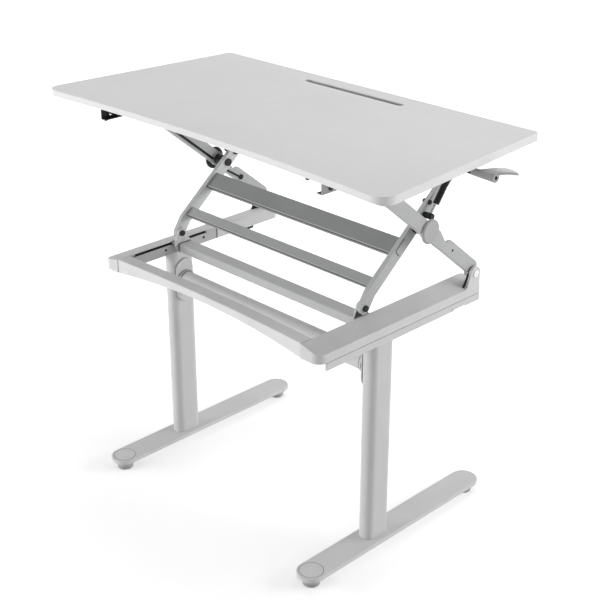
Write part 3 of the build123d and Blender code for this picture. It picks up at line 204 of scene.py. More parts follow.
def inward(tree, level):
    # One on faces that look towards the middle of the desk, and if asked on level ones too
    looks = facing(tree)
    side = math_node(tree, "SIGN", split(tree, place(tree))["X"])
    outward = times(tree, looks["X"], side)
    mask = span(tree, outward, 1.0, 0.0, start=-0.7, end=-0.4)
    if level:
        flat = math_node(tree, "ABSOLUTE", looks["Z"])
        mask = math_node(tree, "MAXIMUM", mask, span(tree, flat, 0.0, 1.0, start=0.6, end=0.8))
    return mask


def paint(tree, colour, inner, level=False):
    # One colour, or another one on the faces that look inwards, to paint the light or shade that
    # falls differently on them
    return colour if inner is None else mix(tree, inward(tree, level), colour, inner)


# Powder coat: soft drift in tone, a fine speckle, orange peel, and edges paled as a painted
# highlight
def powder_coat(name, colour, rough, inner=None, level=False):
    material, tree, shader = new_material(name)
    vector = place(tree)
    drift = varied(tree, vector, scale=7.0, detail=3.0, low=0.965, high=1.035)
    speckle = varied(tree, vector, scale=1500.0, detail=1.0, low=0.955, high=1.045)
    bent = soft_edges(tree, radius=0.0012)
    tone = times(tree, drift, speckle, edge_highlight(tree, bent, most=1.06))
    orange_peel = noise(tree, vector, scale=520.0, detail=2.0)
    connect(
        tree,
        shader,
        colour=shade(tree, paint(tree, colour, inner, level), tone),
        rough=span(tree, orange_peel, rough - 0.06, rough + 0.08),
        normal=bump(tree, orange_peel, strength=0.25, distance=0.00025, normal=bent),
    )
    shader.inputs["Specular IOR Level"].default_value = 0.25
    return material


# Moulded plastic: a fine leathery grain, slightly shiny raised spots, and edges paled as a painted
# highlight
def moulded(name, colour, rough, cell=900.0, edge=1.05, shine=0.28, inner=None, painted_highlight=None):
    material, tree, shader = new_material(name)
    vector = place(tree)
    drift = varied(tree, vector, scale=11.0, detail=3.0, low=0.96, high=1.04)
    bent = soft_edges(tree, radius=0.0010)
    tone = times(tree, drift, edge_highlight(tree, bent, most=edge))
    base = paint(tree, colour, inner)
    if painted_highlight is not None:
        # A painted highlight: another colour towards the rear, and where the change starts and
        # ends
        rear, start, end = painted_highlight
        base = mix(tree, span(tree, split(tree, vector)["Y"], 0.0, 1.0, start, end), base, rear)
    cells = add(tree, "ShaderNodeTexVoronoi", feature="SMOOTH_F1")
    cells.inputs["Scale"].default_value = cell
    tree.links.new(vector, cells.inputs["Vector"])
    pebbles = cells.outputs["Distance"]
    connect(
        tree,
        shader,
        colour=shade(tree, base, tone),
        rough=span(tree, pebbles, rough - 0.05, rough + 0.07, start=0.0, end=0.6),
        normal=bump(tree, pebbles, strength=0.3, distance=0.00015, normal=bent),
    )
    shader.inputs["Specular IOR Level"].default_value = shine
    return material


# Blackened steel: near black with fine turned streaks, a dull shine, and much paler edges as a
# painted highlight
def black_steel(name, colour, rough):
    material, tree, shader = new_material(name)
    drift = varied(tree, place(tree), scale=60.0, detail=3.0, low=0.7, high=1.4)
    bent = soft_edges(tree, radius=0.0006)
    tone = times(tree, drift, edge_highlight(tree, bent, most=2.2))
    turned = noise(tree, place(tree, (900.0, 60.0, 60.0)), scale=1.0, detail=2.0)
    connect(
        tree,
        shader,
        colour=shade(tree, colour, tone),
        rough=span(tree, turned, rough - 0.08, rough + 0.12),
        normal=bump(tree, turned, strength=0.12, distance=0.0001, normal=bent),
    )
    shader.inputs["Specular IOR Level"].default_value = 0.18
    return material


# Bright metal, such as a chromed rod or a zinc pin, with faint drawn lines round it
def bright_steel(name, colour, rough):
    material, tree, shader = new_material(name)
    tone = varied(tree, place(tree), scale=220.0, detail=2.0, low=0.9, high=1.05)
    lines = noise(tree, place(tree, (300.0, 1800.0, 1800.0)), scale=1.0, detail=2.0)
    connect(
        tree,
        shader,
        colour=shade(tree, colour, tone),
        rough=span(tree, lines, rough - 0.07, rough + 0.07),
        normal=bump(tree, lines, strength=0.08, distance=0.00005),
    )
    shader.inputs["Metallic"].default_value = 1.0
    return material


def deep_slot_shade(tree, vector):
    # One in the deep part of the slot in the worktop, where shade is painted
    where = split(tree, vector)
    along = away_from(tree, where["X"], MID)
    across = away_from(tree, where["Y"], SLOT_Y)
    dark_z = TOP_Z - SLOT_SHADE
    return times(
        tree,
        span(tree, along, 1.0, 0.0, SLOT_HALF_LONG, SLOT_HALF_LONG + SLOT_SOFT_SIDE),
        span(tree, across, 1.0, 0.0, SLOT_HALF_WIDE, SLOT_HALF_WIDE + SLOT_SOFT_SIDE),
        span(tree, where["Z"], 1.0, 0.0, dark_z, dark_z + SLOT_SOFT_DOWN),
    )


# Worktop: matt laminate on the faces, a slightly different band round the edge, and painted shade
# in the deep part of the slot
def laminate(name, face, band, slot_shade_colour):
    material, tree, shader = new_material(name)
    vector = place(tree)
    level = math_node(tree, "ABSOLUTE", facing(tree)["Z"])
    is_face = span(tree, level, 0.0, 1.0, start=0.80, end=0.90)
    drift = varied(tree, vector, scale=2.4, detail=3.0, low=0.975, high=1.025)
    stipple = varied(tree, vector, scale=1900.0, detail=1.0, low=0.97, high=1.03)
    clouds = varied(tree, vector, scale=38.0, detail=4.0, low=0.99, high=1.01)
    patches = varied(tree, vector, scale=26.0, detail=2.0, low=0.4, high=2.2)
    tone = times(tree, drift, stipple, clouds)
    colour = mix(tree, is_face, shade(tree, band, drift), shade(tree, face, tone))
    grain = noise(tree, vector, scale=820.0, detail=2.0)
    bent = soft_edges(tree, radius=0.0016)
    connect(
        tree,
        shader,
        colour=mix(tree, deep_slot_shade(tree, vector), colour, shade(tree, slot_shade_colour, patches)),
        rough=span(tree, grain, 0.50, 0.66),
        normal=bump(tree, grain, strength=0.16, distance=0.0002, normal=bent),
    )
    shader.inputs["Specular IOR Level"].default_value = 0.2
    return material


# Glide: pale upper disc, a shaded groove and a darker pad, told apart by height
def glide_plastic(name, upper, groove, pad):
    material, tree, shader = new_material(name)
    vector = place(tree)
    height = split(tree, vector)["Z"]
    over_pad = span(tree, height, 0.0, 1.0, start=0.0112, end=0.0116)
    over_groove = span(tree, height, 0.0, 1.0, start=0.0130, end=0.0133)
    drift = varied(tree, vector, scale=40.0, detail=3.0, low=0.94, high=1.06)
    low = mix(tree, over_pad, shade(tree, pad, drift), groove)
    grain = noise(tree, vector, scale=900.0, detail=2.0)
    bent = soft_edges(tree, radius=0.0008)
    connect(
        tree,
        shader,
        colour=mix(tree, over_groove, low, shade(tree, upper, drift)),
        rough=span(tree, grain, 0.45, 0.62),
        normal=bump(tree, grain, strength=0.25, distance=0.0002, normal=bent),
    )
    return material


def grey(value):
    return (value, value, value)


# Finishes, with colours as plain linear values
WORKTOP = laminate("worktop_laminate", face=grey(0.82), band=grey(0.80), slot_shade_colour=grey(0.05))
FRAME = powder_coat("frame_powder_coat", (0.49, 0.495, 0.498), 0.46)
# Inner arms: their inward faces are paler, painted light that reaches them from the far side
ARM = powder_coat("arm_powder_coat", (0.48, 0.485, 0.487), 0.46, inner=(0.64, 0.645, 0.647))
# The cross panel and middle bar are darker than the arms' paint, painted shade from the desk above
PANEL = powder_coat("panel_powder_coat", (0.265, 0.272, 0.27), 0.48)
BAR = powder_coat("bar_powder_coat", (0.37, 0.378, 0.377), 0.48)
BASE = powder_coat("base_powder_coat", (0.62, 0.62, 0.617), 0.48)
FOOT = powder_coat("foot_powder_coat", (0.67, 0.67, 0.667), 0.52)
CARRIAGE = powder_coat("carriage_powder_coat", (0.60, 0.603, 0.605), 0.46)
COVER = moulded("cover_moulded", grey(0.67), 0.48)
FRONT = moulded("front_moulded", grey(0.74), 0.48)
# Rail walls and their ends are darker on their inward faces, painted shade
WALL = moulded("wall_moulded", grey(0.65), 0.48, inner=grey(0.46))
WALL_END = moulded("wall_end_moulded", grey(0.65), 0.48, inner=grey(0.61))
CAP = moulded("cap_moulded", (0.70, 0.70, 0.697), 0.45)
# The hub caps are near black on their inward faces, painted shade
HUB_CAP = moulded("hub_cap_moulded", (0.45, 0.45, 0.448), 0.45, inner=grey(0.015))
# The top rails are near black on their inward and level faces, painted shade inside their channels
RUNNER = powder_coat(
    "runner_powder_coat", (0.40, 0.405, 0.405), 0.5, inner=grey(0.012), level=True
)
FITTING = black_steel("black_steel", (0.022, 0.022, 0.023), 0.45)
BLACK = moulded("black_moulded", (0.016, 0.016, 0.017), 0.5, edge=1.4, shine=0.2)
# Dark greys for joint lines, and for pieces that paint shade between parts
SEAM_AND_SHADE = moulded("seam_moulded", grey(0.10), 0.55, shine=0.2)
JOINT_AND_SHADE = moulded("groove_moulded", grey(0.22), 0.55, shine=0.2)
CHROME = bright_steel("bright_rod", (0.55, 0.58, 0.61), 0.17)
ZINC = bright_steel("zinc_pin", (0.82, 0.83, 0.83), 0.34)
# The handle pales towards the rear of its blade, a painted highlight
HANDLE = moulded(
    "handle_moulded",
    (0.37, 0.37, 0.372),
    0.45,
    cell=1300.0,
    edge=1.2,
    painted_highlight=(grey(0.74), 0.060, 0.088),
)
GLIDE = glide_plastic("glide_moulded", upper=grey(0.50), groove=grey(0.06), pad=grey(0.38))

# The first row with the start of a node's name gives its finish, and the rest have FRAME
FINISH = (
    ("desktop", WORKTOP),
    ("foot_caps", CAP),
    ("foot", FOOT),
    ("column", BASE),
    ("crossbar", BASE),
    ("rail_cover", COVER),
    ("rail_end", WALL_END),
    ("rail_screws", FITTING),
    ("rail_beam", WALL),
    ("front_bar", FRONT),
    ("hub_cap", HUB_CAP),
    ("hub_axle", FITTING),
    ("ear_pins", ZINC),
    ("cross_panel", PANEL),
    ("inner_arm", ARM),
    ("cross_bar_middle", BAR),
    ("carriage_bolts", FITTING),
    ("carriage", CARRIAGE),
    ("gas_cylinder", BLACK),
    ("gas_rods", CHROME),
    ("rod_ends", FITTING),
    ("top_slider", BLACK),
    ("top_rail_bolts", FITTING),
    ("top_rail", RUNNER),
    ("handle_collar", BLACK),
    ("handle_mount", BLACK),
    ("handle", HANDLE),
    ("glide", GLIDE),
    ("stop_bolts", FITTING),
    ("spring", FITTING),
    ("plate_bolts", FITTING),
    ("slider_pins", FITTING),
    ("rear_pins", FITTING),
)
for name, item in nodes.items():
    finish = next((material for start, material in FINISH if name.startswith(start)), FRAME)
    item.data.materials.clear()
    item.data.materials.append(finish)


# Trim that the photograph shows on the assembly, in millimetres from the middle plane
MM = 0.001
SIDES = ((-1, "left"), (1, "right"))
HEXAGON = 6
ARC_STEPS = 14
SMOOTH_ANGLE = math.radians(35.0)
SHARP_ANGLE = math.radians(50.0)


def joint_place(name):
    # The Y and Z of a joint
    return JOINTS[name][1] / MM, JOINTS[name][2] / MM


# The hub, the ear pins, and the lean of the arms, which leave the line of the pivots a little
HUB_Y, HUB_Z = joint_place("crossing")
EAR_Y, EAR_Z = joint_place("lift")
ARM_SKEW = 2.8
LEAN = math.atan2(HUB_Z - EAR_Z, EAR_Y - HUB_Y) - math.radians(ARM_SKEW)


def on_inner_arm(along, over):
    # A place on the inner arms, along the arm from the hub and square to it
    y = HUB_Y + along * math.cos(LEAN) - over * math.sin(LEAN)
    return y, HUB_Z + along * math.sin(LEAN) + over * math.cos(LEAN)


def on_outer_arm(along, over):
    # The same on the outer arms, which slope the other way
    y = HUB_Y + along * math.cos(LEAN) + over * math.sin(LEAN)
    return y, HUB_Z - along * math.sin(LEAN) + over * math.cos(LEAN)


def arc(centre, radius, start, end, steps=ARC_STEPS):
    # Points on a round stretch, with angles in degrees
    points = []
    for step in range(steps + 1):
        turn = math.radians(start + (end - start) * step / steps)
        points.append((centre[0] + radius * math.cos(turn), centre[1] + radius * math.sin(turn)))
    return points


def at(side, reach, y, z):
    # A place in metres
    return (MID + side * reach * MM, y * MM, z * MM)


def add_piece(name, form, finish, body):
    bmesh.ops.recalc_face_normals(form, faces=form.faces)
    mesh = bpy.data.meshes.new(name)
    form.to_mesh(mesh)
    form.free()
    mesh.shade_smooth()
    mesh.set_sharp_from_angle(angle=SMOOTH_ANGLE)
    mesh.materials.append(finish)
    item = bpy.data.objects.new(name, mesh)
    scene.collection.objects.link(item)
    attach(item, body)


def joined(form, rings, closed):
    # Faces from each ring of points to the next, and over the two ends or back to the first
    count = len(rings[0])
    pairs = list(zip(rings, rings[1:]))
    if closed:
        pairs.append((rings[-1], rings[0]))
    else:
        form.faces.new(rings[0])
        form.faces.new(rings[-1])
    for low, high in pairs:
        for step in range(count):
            after = (step + 1) % count
            form.faces.new((low[step], low[after], high[after], high[step]))


def ring_at(form, side, reach, outline):
    # Points at one reach from an outline in Y and Z
    return [form.verts.new(at(side, reach, y, z)) for y, z in outline]


def rounded(form, size):
    # Soften every sharp edge of a form
    sharp = [edge for edge in form.edges if edge.calc_face_angle(0.0) > SHARP_ANGLE]
    bmesh.ops.bevel(
        form, geom=sharp, offset=size * MM, segments=2, affect="EDGES", profile=0.5
    )


def slab(side, outline, near, far, soften=0.2):
    # A flat piece with an outline in Y and Z
    form = bmesh.new()
    joined(form, [ring_at(form, side, reach, outline) for reach in (near, far)], False)
    rounded(form, soften)
    return form


def strip(side, section, front, rear, soften=0.2):
    # A long piece with a section in X and Z
    form = bmesh.new()
    rings = []
    for y in (front, rear):
        rings.append([form.verts.new(at(side, reach, y, z)) for reach, z in section])
    joined(form, rings, False)
    rounded(form, soften)
    return form


def turned_across(side, centre, profile, count=40, closed=False):
    # A round piece about a line along X, from pairs of a reach and a radius
    form = bmesh.new()
    rings = []
    for reach, radius in profile:
        circle = arc(centre, radius, 0.0, 360.0, count)[:-1]
        rings.append(ring_at(form, side, reach, circle))
    joined(form, rings, closed)
    return form


def turned_upright(side, centre, profile, count=64, closed=False):
    # A round piece about an upright line, from pairs of a height and a radius
    form = bmesh.new()
    rings = []
    for height, radius in profile:
        circle = arc(centre, radius, 0.0, 360.0, count)[:-1]
        rings.append([form.verts.new(at(side, reach, y, height)) for reach, y in circle])
    joined(form, rings, closed)
    return form


def wire(route, radius, count=12):
    # A thin round rod along a route of places in metres, square across each corner
    form = bmesh.new()
    rings = []
    for index, here in enumerate(route):
        before = route[max(index - 1, 0)]
        after = route[min(index + 1, len(route) - 1)]
        along = (Vector(after) - Vector(before)).normalized()
        across = along.cross(Vector((1.0, 0.0, 0.0))).normalized()
        if across.length < 0.5:
            across = Vector((0.0, 0.0, 1.0))
        other = along.cross(across)
        ring = []
        for step in range(count):
            turn = 2 * math.pi * step / count
            offset = across * math.cos(turn) + other * math.sin(turn)
            ring.append(form.verts.new(Vector(here) + offset * radius * MM))
        rings.append(ring)
    joined(form, rings, False)
    return form


# Black strips behind the slots in the rails, and black strips along their lower sides
SLOT_BACK_SECTION = (
    (347.5, 644.0),
    (351.2, 644.0),
    (351.2, 654.6),
    (350.0, 654.6),
    (350.0, 650.9),
    (347.5, 650.9),
)
SLOT_BACK_FRONT = -253.0
SLOT_BACK_REAR = 5.0
SLOT_LIP_SECTION = ((344.4, 649.4), (347.6, 649.4), (347.6, 651.75), (344.4, 651.75))
for side, word in SIDES:
    slot_strip = strip(side, SLOT_BACK_SECTION, SLOT_BACK_FRONT, SLOT_BACK_REAR)
    add_piece("rail_guide_" + word, slot_strip, BLACK, "base")
    slot_strip = strip(side, SLOT_LIP_SECTION, SLOT_BACK_FRONT, SLOT_BACK_REAR, soften=0.15)
    add_piece("guide_edge_" + word, slot_strip, BLACK, "base")


def bar_outline(first, last, middle, half):
    # A long bar with round ends along the outer arms
    outline = arc((first + half, middle), half, 90.0, 270.0)
    outline += arc((last - half, middle), half, -90.0, 90.0)
    return [on_outer_arm(along, over) for along, over in outline]


# Grey fillers in the slots of the outer arms, and a black strip below each, painted shade in the
# slot
FILLER_OUTLINE = bar_outline(-224.0, -22.0, middle=0.0, half=3.4)
FILLER_REACH = (378.3, 382.5)
STRIP_OUTLINE = bar_outline(-186.0, -14.0, middle=-8.2, half=3.4)
STRIP_REACH = (377.5, 379.5)
for side, word in SIDES:
    form = slab(side, FILLER_OUTLINE, *FILLER_REACH)
    add_piece("arm_filler_" + word, form, FRAME, "outer_arms")
    form = slab(side, STRIP_OUTLINE, *STRIP_REACH)
    add_piece("arm_liner_" + word, form, BLACK, "outer_arms")

# Black plates between the outer arms and the ears of the rails, painted shade in the gap between
# them
EAR_SHADE_REACH = (394.3, 397.5)
EAR_SHADE_ROUND = 17.2
EAR_SHADE_FLOOR = 647.4
EAR_SHADE_FRONT = ((223.0, EAR_SHADE_FLOOR), (240.5, 680.0))
EAR_SHADE_REAR = (EAR_Y + 4.0, EAR_SHADE_FLOOR)
EAR_SHADE_OUTLINE = [*EAR_SHADE_FRONT, *arc((EAR_Y, EAR_Z), EAR_SHADE_ROUND, 170.0, 60.0), EAR_SHADE_REAR]
for side, word in SIDES:
    form = slab(side, EAR_SHADE_OUTLINE, *EAR_SHADE_REACH)
    add_piece("ear_seal_" + word, form, BLACK, "base")

# A hexagon socket in the middle of each ear pin
SOCKET_PROFILE = ((407.6, 1.0), (408.12, 2.7), (408.25, 2.7), (408.25, 1.9), (407.9, 1.6))
for side, word in SIDES:
    form = turned_across(side, (EAR_Y, EAR_Z), SOCKET_PROFILE, HEXAGON)
    add_piece("ear_socket_" + word, form, BLACK, "base")

# Thin rods from the hub to the bolt on the open plate of the outer arms, with an eye there
LINK_REACH = 386.4
LINK_RADIUS = 2.4
LINK_START = on_outer_arm(20.0, -13.7)
LINK_END = on_outer_arm(121.8, -2.4)
EYE_PROFILE = ((389.2, 6.4), (385.2, 6.4), (384.4, 5.4), (384.4, 2.6), (385.0, 2.2))
for side, word in SIDES:
    route = [at(side, LINK_REACH, *spot) for spot in (LINK_START, LINK_END)]
    add_piece("link_rod_" + word, wire(route, LINK_RADIUS), BLACK, "outer_arms")
    form = turned_across(side, LINK_END, EYE_PROFILE)
    add_piece("link_eye_" + word, form, BLACK, "outer_arms")

# The joint line where the tab of the cross panel comes through the inner arms
TAB_REACH = 349.0
TAB_RADIUS = 1.9
TAB_CORNERS = ((-44.0, 11.6), (-81.6, 12.0), (-84.6, 7.6), (-84.4, -7.0))
for side, word in SIDES:
    route = [at(side, TAB_REACH, *on_inner_arm(*corner)) for corner in TAB_CORNERS]
    form = wire(route, TAB_RADIUS, count=8)
    add_piece("tab_line_" + word, form, SEAM_AND_SHADE, "inner_frame")

# Rolled lower lips on the two folded cross members, with a dark strip under each as painted shade
# on the fold's underside
PANEL_LOW = -92.0
BAR_LOW = -191.0
MEMBER_FACE = 10.0
LIP_HALF = 337.4
LIP_RADIUS = 1.5
LIP_SINK = 0.4
EDGE_RADIUS = 1.4
EDGE_DROP = 1.0
EDGE_SINK = 1.6
for name, low in (("panel", PANEL_LOW), ("bar", BAR_LOW)):
    for part, along, sink, radius, finish, slot in (
        ("_lip", low + LIP_RADIUS, LIP_SINK, LIP_RADIUS, FRAME, "frame_grey"),
        ("_edge", low - EDGE_DROP, EDGE_SINK, EDGE_RADIUS, SEAM_AND_SHADE, "black_plastic"),
    ):
        spot = on_inner_arm(along, MEMBER_FACE - sink)
        route = [at(-1, LIP_HALF, *spot), at(1, LIP_HALF, *spot)]
        add_piece(name + part, wire(route, radius), finish, "inner_frame")

# Dark bands round the ends of the carriage bar, against its cheeks, painted shade where the bar
# meets them, from pairs of a reach and how far the band stands off the bar
CARRIAGE_LOW, CARRIAGE_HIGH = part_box("carriage_bar")
CARRIAGE_CORNER = 4.0
CONTACT_SHADE_STEPS = 6
CONTACT_SHADE_PROFILE = ((325.0, -0.6), (325.6, 0.5), (332.6, 0.5), (332.6, -0.6))


def round_bar(grow):
    # The section of the carriage bar in Y and Z, grown by a little
    front, rear = CARRIAGE_LOW.y / MM + CARRIAGE_CORNER, CARRIAGE_HIGH.y / MM - CARRIAGE_CORNER
    under, over = CARRIAGE_LOW.z / MM + CARRIAGE_CORNER, CARRIAGE_HIGH.z / MM - CARRIAGE_CORNER
    outline = []
    for turn, corner in (
        (0.0, (rear, over)),
        (90.0, (front, over)),
        (180.0, (front, under)),
        (270.0, (rear, under)),
    ):
        outline += arc(corner, CARRIAGE_CORNER + grow, turn, turn + 90.0, CONTACT_SHADE_STEPS)
    return outline


for side, word in SIDES:
    form = bmesh.new()
    rings = [ring_at(form, side, reach, round_bar(grow)) for reach, grow in CONTACT_SHADE_PROFILE]
    joined(form, rings, True)
    add_piece("carriage_collar_" + word, form, JOINT_AND_SHADE, "carriage")

# Dark plates on the outer faces of the cheeks, below the ends of the inner arms, painted shade
# there
CHEEK_SHADE_OUTLINE = ((-117.2, 655.9), (-107.6, 676.0), (-78.0, 676.0), (-67.8, 655.9))
CHEEK_SHADE_REACH = (337.0, 337.65)
for side, word in SIDES:
    form = slab(side, CHEEK_SHADE_OUTLINE, *CHEEK_SHADE_REACH, soften=0.1)
    add_piece("wear_pad_" + word, form, SEAM_AND_SHADE, "carriage")

# Bolts under the front ends of the top rails, and the nuts inside their webs
RAIL_BOLT_PLACE = (386.5, -282.0)
RAIL_BOLT_PROFILE = ((1028.0, 4.2), (1026.4, 4.2), (1025.4, 3.2), (1025.1, 1.6))
RAIL_NUT_PLACE = (-263.5, 1039.0)
RAIL_NUT_PROFILE = ((393.5, 5.2), (391.2, 5.2), (390.6, 4.4), (390.6, 2.8), (390.0, 2.4))
for side, word in SIDES:
    form = turned_upright(side, RAIL_BOLT_PLACE, RAIL_BOLT_PROFILE, count=32)
    add_piece("runner_bolt_" + word, form, FITTING, "desk")
    form = turned_across(side, RAIL_NUT_PLACE, RAIL_NUT_PROFILE, HEXAGON)
    add_piece("runner_nut_" + word, form, ZINC, "desk")

# Black plugs on the front ends of the top rails, and screws into the worktop near them
PLUG_SECTION = ((383.0, 1027.4), (393.2, 1027.4), (393.2, 1031.4), (383.0, 1031.4))
PLUG_FRONT = -287.4
PLUG_REAR = -282.0
SCREW_PLACE = (351.5, -288.7)
SCREW_PROFILE = ((1058.2, 5.4), (1054.4, 5.4), (1052.8, 4.6), (1052.4, 2.6), (1053.4, 2.0))
for side, word in SIDES:
    form = strip(side, PLUG_SECTION, PLUG_FRONT, PLUG_REAR, soften=0.4)
    add_piece("runner_plug_" + word, form, BLACK, "desk")
    form = turned_upright(side, SCREW_PLACE, SCREW_PROFILE, count=32)
    add_piece("desk_screw_" + word, form, FITTING, "desk")

# Rings round the caps on the feet, and a faint raised ring on each cap
FOOT_PLACE = (379.0, -300.0)
CAP_TOP = 39.0
RING_TOP = CAP_TOP + 0.14
RIB_TOP = CAP_TOP + 0.2
RING_PROFILE = ((37.4, 30.3), (RING_TOP, 30.3), (RING_TOP, 31.6), (37.4, 31.6))
RIB_PROFILE = ((38.8, 23.2), (RIB_TOP, 23.6), (RIB_TOP, 24.2), (38.8, 24.6))
for side, word in SIDES:
    form = turned_upright(side, FOOT_PLACE, RING_PROFILE, closed=True)
    add_piece("cap_ring_" + word, form, JOINT_AND_SHADE, "base")
    form = turned_upright(side, FOOT_PLACE, RIB_PROFILE, closed=True)
    add_piece("cap_rib_" + word, form, CAP, "base")

# Dark joints where the front bar meets the rails
JOINT_OUTLINE = (
    (-304.2, 622.0),
    (-304.2, 658.8),
    (-269.0, 658.8),
    (-259.8, 650.1),
    (-259.8, 622.0),
)
JOINT_REACH = (343.9, 345.4)
for side, word in SIDES:
    form = slab(side, JOINT_OUTLINE, *JOINT_REACH, soften=0.1)
    add_piece("bar_joint_" + word, form, JOINT_AND_SHADE, "base")

# Dark fillers in the splits of the inner walls, in front of their rear stretches
RAIL_END_LOW, RAIL_END_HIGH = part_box("rail_end_right")
SPLIT_FRONT = RAIL_END_LOW.y / MM - 2.6
SPLIT_REAR = RAIL_END_LOW.y / MM + 1.0
SPLIT_SECTION = ((344.8, 622.2), (347.4, 622.2), (347.4, 655.6), (344.8, 655.6))
for side, word in SIDES:
    form = strip(side, SPLIT_SECTION, SPLIT_FRONT, SPLIT_REAR, soften=0.1)
    add_piece("split_filler_" + word, form, BLACK, "base")

# Pale strips that close the rear ends of the inner walls
CLOSER_SECTION = ((345.0, 622.2), (347.4, 622.2), (347.4, 655.6), (345.0, 655.6))
CLOSER_FRONT = RAIL_END_HIGH.y / MM - 0.5
CLOSER_REAR = CLOSER_FRONT + 9.0
for side, word in SIDES:
    form = strip(side, CLOSER_SECTION, CLOSER_FRONT, CLOSER_REAR, soften=0.9)
    add_piece("wall_closer_" + word, form, CAP, "base")

# Black pads under the rear ends of the inner walls
PAD_SECTION = ((345.2, 615.4), (349.6, 615.4), (349.6, 622.4), (345.2, 622.4))
PAD_FRONT = 158.0
PAD_REAR = 183.0
for side, word in SIDES:
    form = strip(side, PAD_SECTION, PAD_FRONT, PAD_REAR, soften=0.6)
    add_piece("rail_pad_" + word, form, BLACK, "base")

# Dark rings round the collars of the crossbar, and dark outlines behind its flanges as painted
# shade round their edges
TUBE_Y = -73.95
TUBE_Z = 528.5
TUBE_COUNT = 64
TUBE_RING_PROFILE = ((340.2, 25.9), (340.2, 28.5), (341.4, 28.5), (341.4, 25.9))
ROOT_RING_PROFILE = ((348.8, 27.9), (348.8, 29.6), (350.2, 29.6), (350.2, 27.9))
FLANGE_SHADE_ROUND = 29.0
FLANGE_SHADE_RISE = 34.5
FLANGE_SHADE_REACH = (353.2, 357.0)
FLANGE_SHADE_OUTLINE = [
    *arc((TUBE_Y, TUBE_Z + FLANGE_SHADE_RISE), FLANGE_SHADE_ROUND, 0.0, 180.0),
    *arc((TUBE_Y, TUBE_Z - FLANGE_SHADE_RISE), FLANGE_SHADE_ROUND, 180.0, 360.0),
]
for side, word in SIDES:
    form = turned_across(side, (TUBE_Y, TUBE_Z), TUBE_RING_PROFILE, TUBE_COUNT, closed=True)
    add_piece("tube_ring_" + word, form, JOINT_AND_SHADE, "base")
    form = turned_across(side, (TUBE_Y, TUBE_Z), ROOT_RING_PROFILE, TUBE_COUNT, closed=True)
    add_piece("collar_ring_" + word, form, JOINT_AND_SHADE, "base")
    form = slab(side, FLANGE_SHADE_OUTLINE, *FLANGE_SHADE_REACH)
    add_piece("flange_gasket_" + word, form, JOINT_AND_SHADE, "base")

# Small plugs in the strips below the rails
STRIP_PLUG_PLACE = (176.0, 605.0)
STRIP_PLUG_PROFILE = ((405.2, 1.8), (405.8, 1.8), (406.0, 1.4), (406.0, 0.6))
for side, word in SIDES:
    form = turned_across(side, STRIP_PLUG_PLACE, STRIP_PLUG_PROFILE, count=24)
    add_piece("strip_plug_" + word, form, BLACK, "base")

# The black lining of the hole in the end of the handle
LINING_PROFILE = ((597.1, 4.45), (605.3, 4.45), (605.3, 3.4), (599.0, 3.1), (598.6, 1.0))
form = turned_across(1, joint_place("handle_pull"), LINING_PROFILE)
add_piece("handle_lining", form, BLACK, "release_handle")


# Floor, light and camera
def seen_directly(tree):
    # One for what the camera, a reflection or a see-through surface shows
    path = add(tree, "ShaderNodeLightPath")
    seen = math_node(tree, "MAXIMUM", path.outputs["Is Camera Ray"], path.outputs["Is Glossy Ray"])
    return math_node(tree, "MAXIMUM", seen, path.outputs["Is Transmission Ray"])


# The floor glows for the eye alone, more so away from the desk, so it is white and keeps a
# soft shadow near the feet. Distances from the middle are in metres.
FLOOR_SIZE = 60.0
FLOOR_COLOUR = grey(0.86)
GLOW_NEAR = 0.42
GLOW_FAR = 0.90
GLOW_START = 0.6
GLOW_END = 4.0


def white_floor():
    material, tree, shader = new_material("floor_white")
    vector = place(tree)
    tone = varied(tree, vector, scale=1.5, detail=2.0, low=0.995, high=1.005)
    tree.links.new(shade(tree, FLOOR_COLOUR, tone), shader.inputs["Base Color"])
    shader.inputs["Roughness"].default_value = 0.9
    shader.inputs["Specular IOR Level"].default_value = 0.0
    far = add(tree, "ShaderNodeVectorMath", operation="LENGTH")
    tree.links.new(vector, far.inputs[0])
    glow = add(tree, "ShaderNodeEmission")
    strength = span(tree, far.outputs["Value"], GLOW_NEAR, GLOW_FAR, GLOW_START, GLOW_END)
    tree.links.new(strength, glow.inputs["Strength"])
    total = add(tree, "ShaderNodeAddShader")
    tree.links.new(shader.outputs["BSDF"], total.inputs[0])
    tree.links.new(glow.outputs["Emission"], total.inputs[1])
    choose = add(tree, "ShaderNodeMixShader")
    tree.links.new(seen_directly(tree), choose.inputs[0])
    tree.links.new(shader.outputs["BSDF"], choose.inputs[1])
    tree.links.new(total.outputs["Shader"], choose.inputs[2])
    tree.links.new(choose.outputs["Shader"], tree.nodes["Material Output"].inputs["Surface"])
    return material


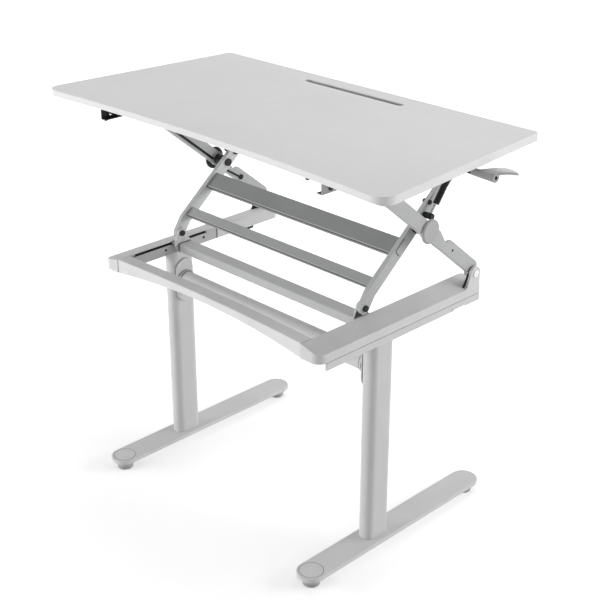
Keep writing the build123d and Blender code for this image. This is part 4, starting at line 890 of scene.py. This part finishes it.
bpy.ops.mesh.primitive_plane_add(size=FLOOR_SIZE, location=(0.0, 0.0, 0.0))
floor = bpy.context.object
floor.name = "floor"
floor.data.materials.append(white_floor())

# A white sky for the eye, which lights the desk less than it shows
SKY_LIGHT = 0.36
SKY_SEEN = 1.0
world = bpy.data.worlds.new("studio")
scene.world = world
world.use_nodes = True
sky = world.node_tree
background = sky.nodes["Background"]
background.inputs["Color"].default_value = (1.0, 1.0, 1.0, 1.0)
strength = span(sky, seen_directly(sky), SKY_LIGHT, SKY_SEEN, start=0.0, end=1.0)
sky.links.new(strength, background.inputs["Strength"])

# Soft lamps: a name, watts, a size, a place and what it points at, in metres
LAMPS = (
    ("left_soft", 302.0, (4.5, 2.2), (-4.2, -5.2, 1.3), (0.0, 0.0, 0.7)),
    ("right_soft", 268.0, (4.5, 3.6), (4.95, 4.65, 2.35), (0.0, 0.0, 0.7)),
    ("top_soft", 38.0, (3.0, 3.0), (0.0, 1.2, 4.0), (0.0, 0.0, 1.0)),
)
for name, watts, size, location, target in LAMPS:
    light = bpy.data.lights.new(name, "AREA")
    light.energy = watts
    light.shape = "RECTANGLE"
    light.size, light.size_y = size
    item = bpy.data.objects.new(name, light)
    scene.collection.objects.link(item)
    item.location = location
    away = Vector(location) - Vector(target)
    item.rotation_euler = away.to_track_quat("Z", "Y").to_euler()
    item.visible_glossy = False

# The camera, fitted to the edges of the worktop and the feet, from the middle plane
CAMERA_LENS = 75.1245
CAMERA_SENSOR = 36.0
CAMERA_REACH = 100.0
CAMERA_PLACE = (2.1698 + MID, -2.1023, 1.9549)
CAMERA_TURN = (math.radians(65.1505), 0.0, math.radians(45.4485))
camera = bpy.data.cameras.new("photo_camera")
camera.lens = CAMERA_LENS
camera.sensor_width = CAMERA_SENSOR
camera.clip_end = CAMERA_REACH
view = bpy.data.objects.new("photo_camera", camera)
scene.collection.objects.link(view)
view.location = CAMERA_PLACE
view.rotation_euler = CAMERA_TURN
scene.camera = view

scene.view_settings.view_transform = "Standard"
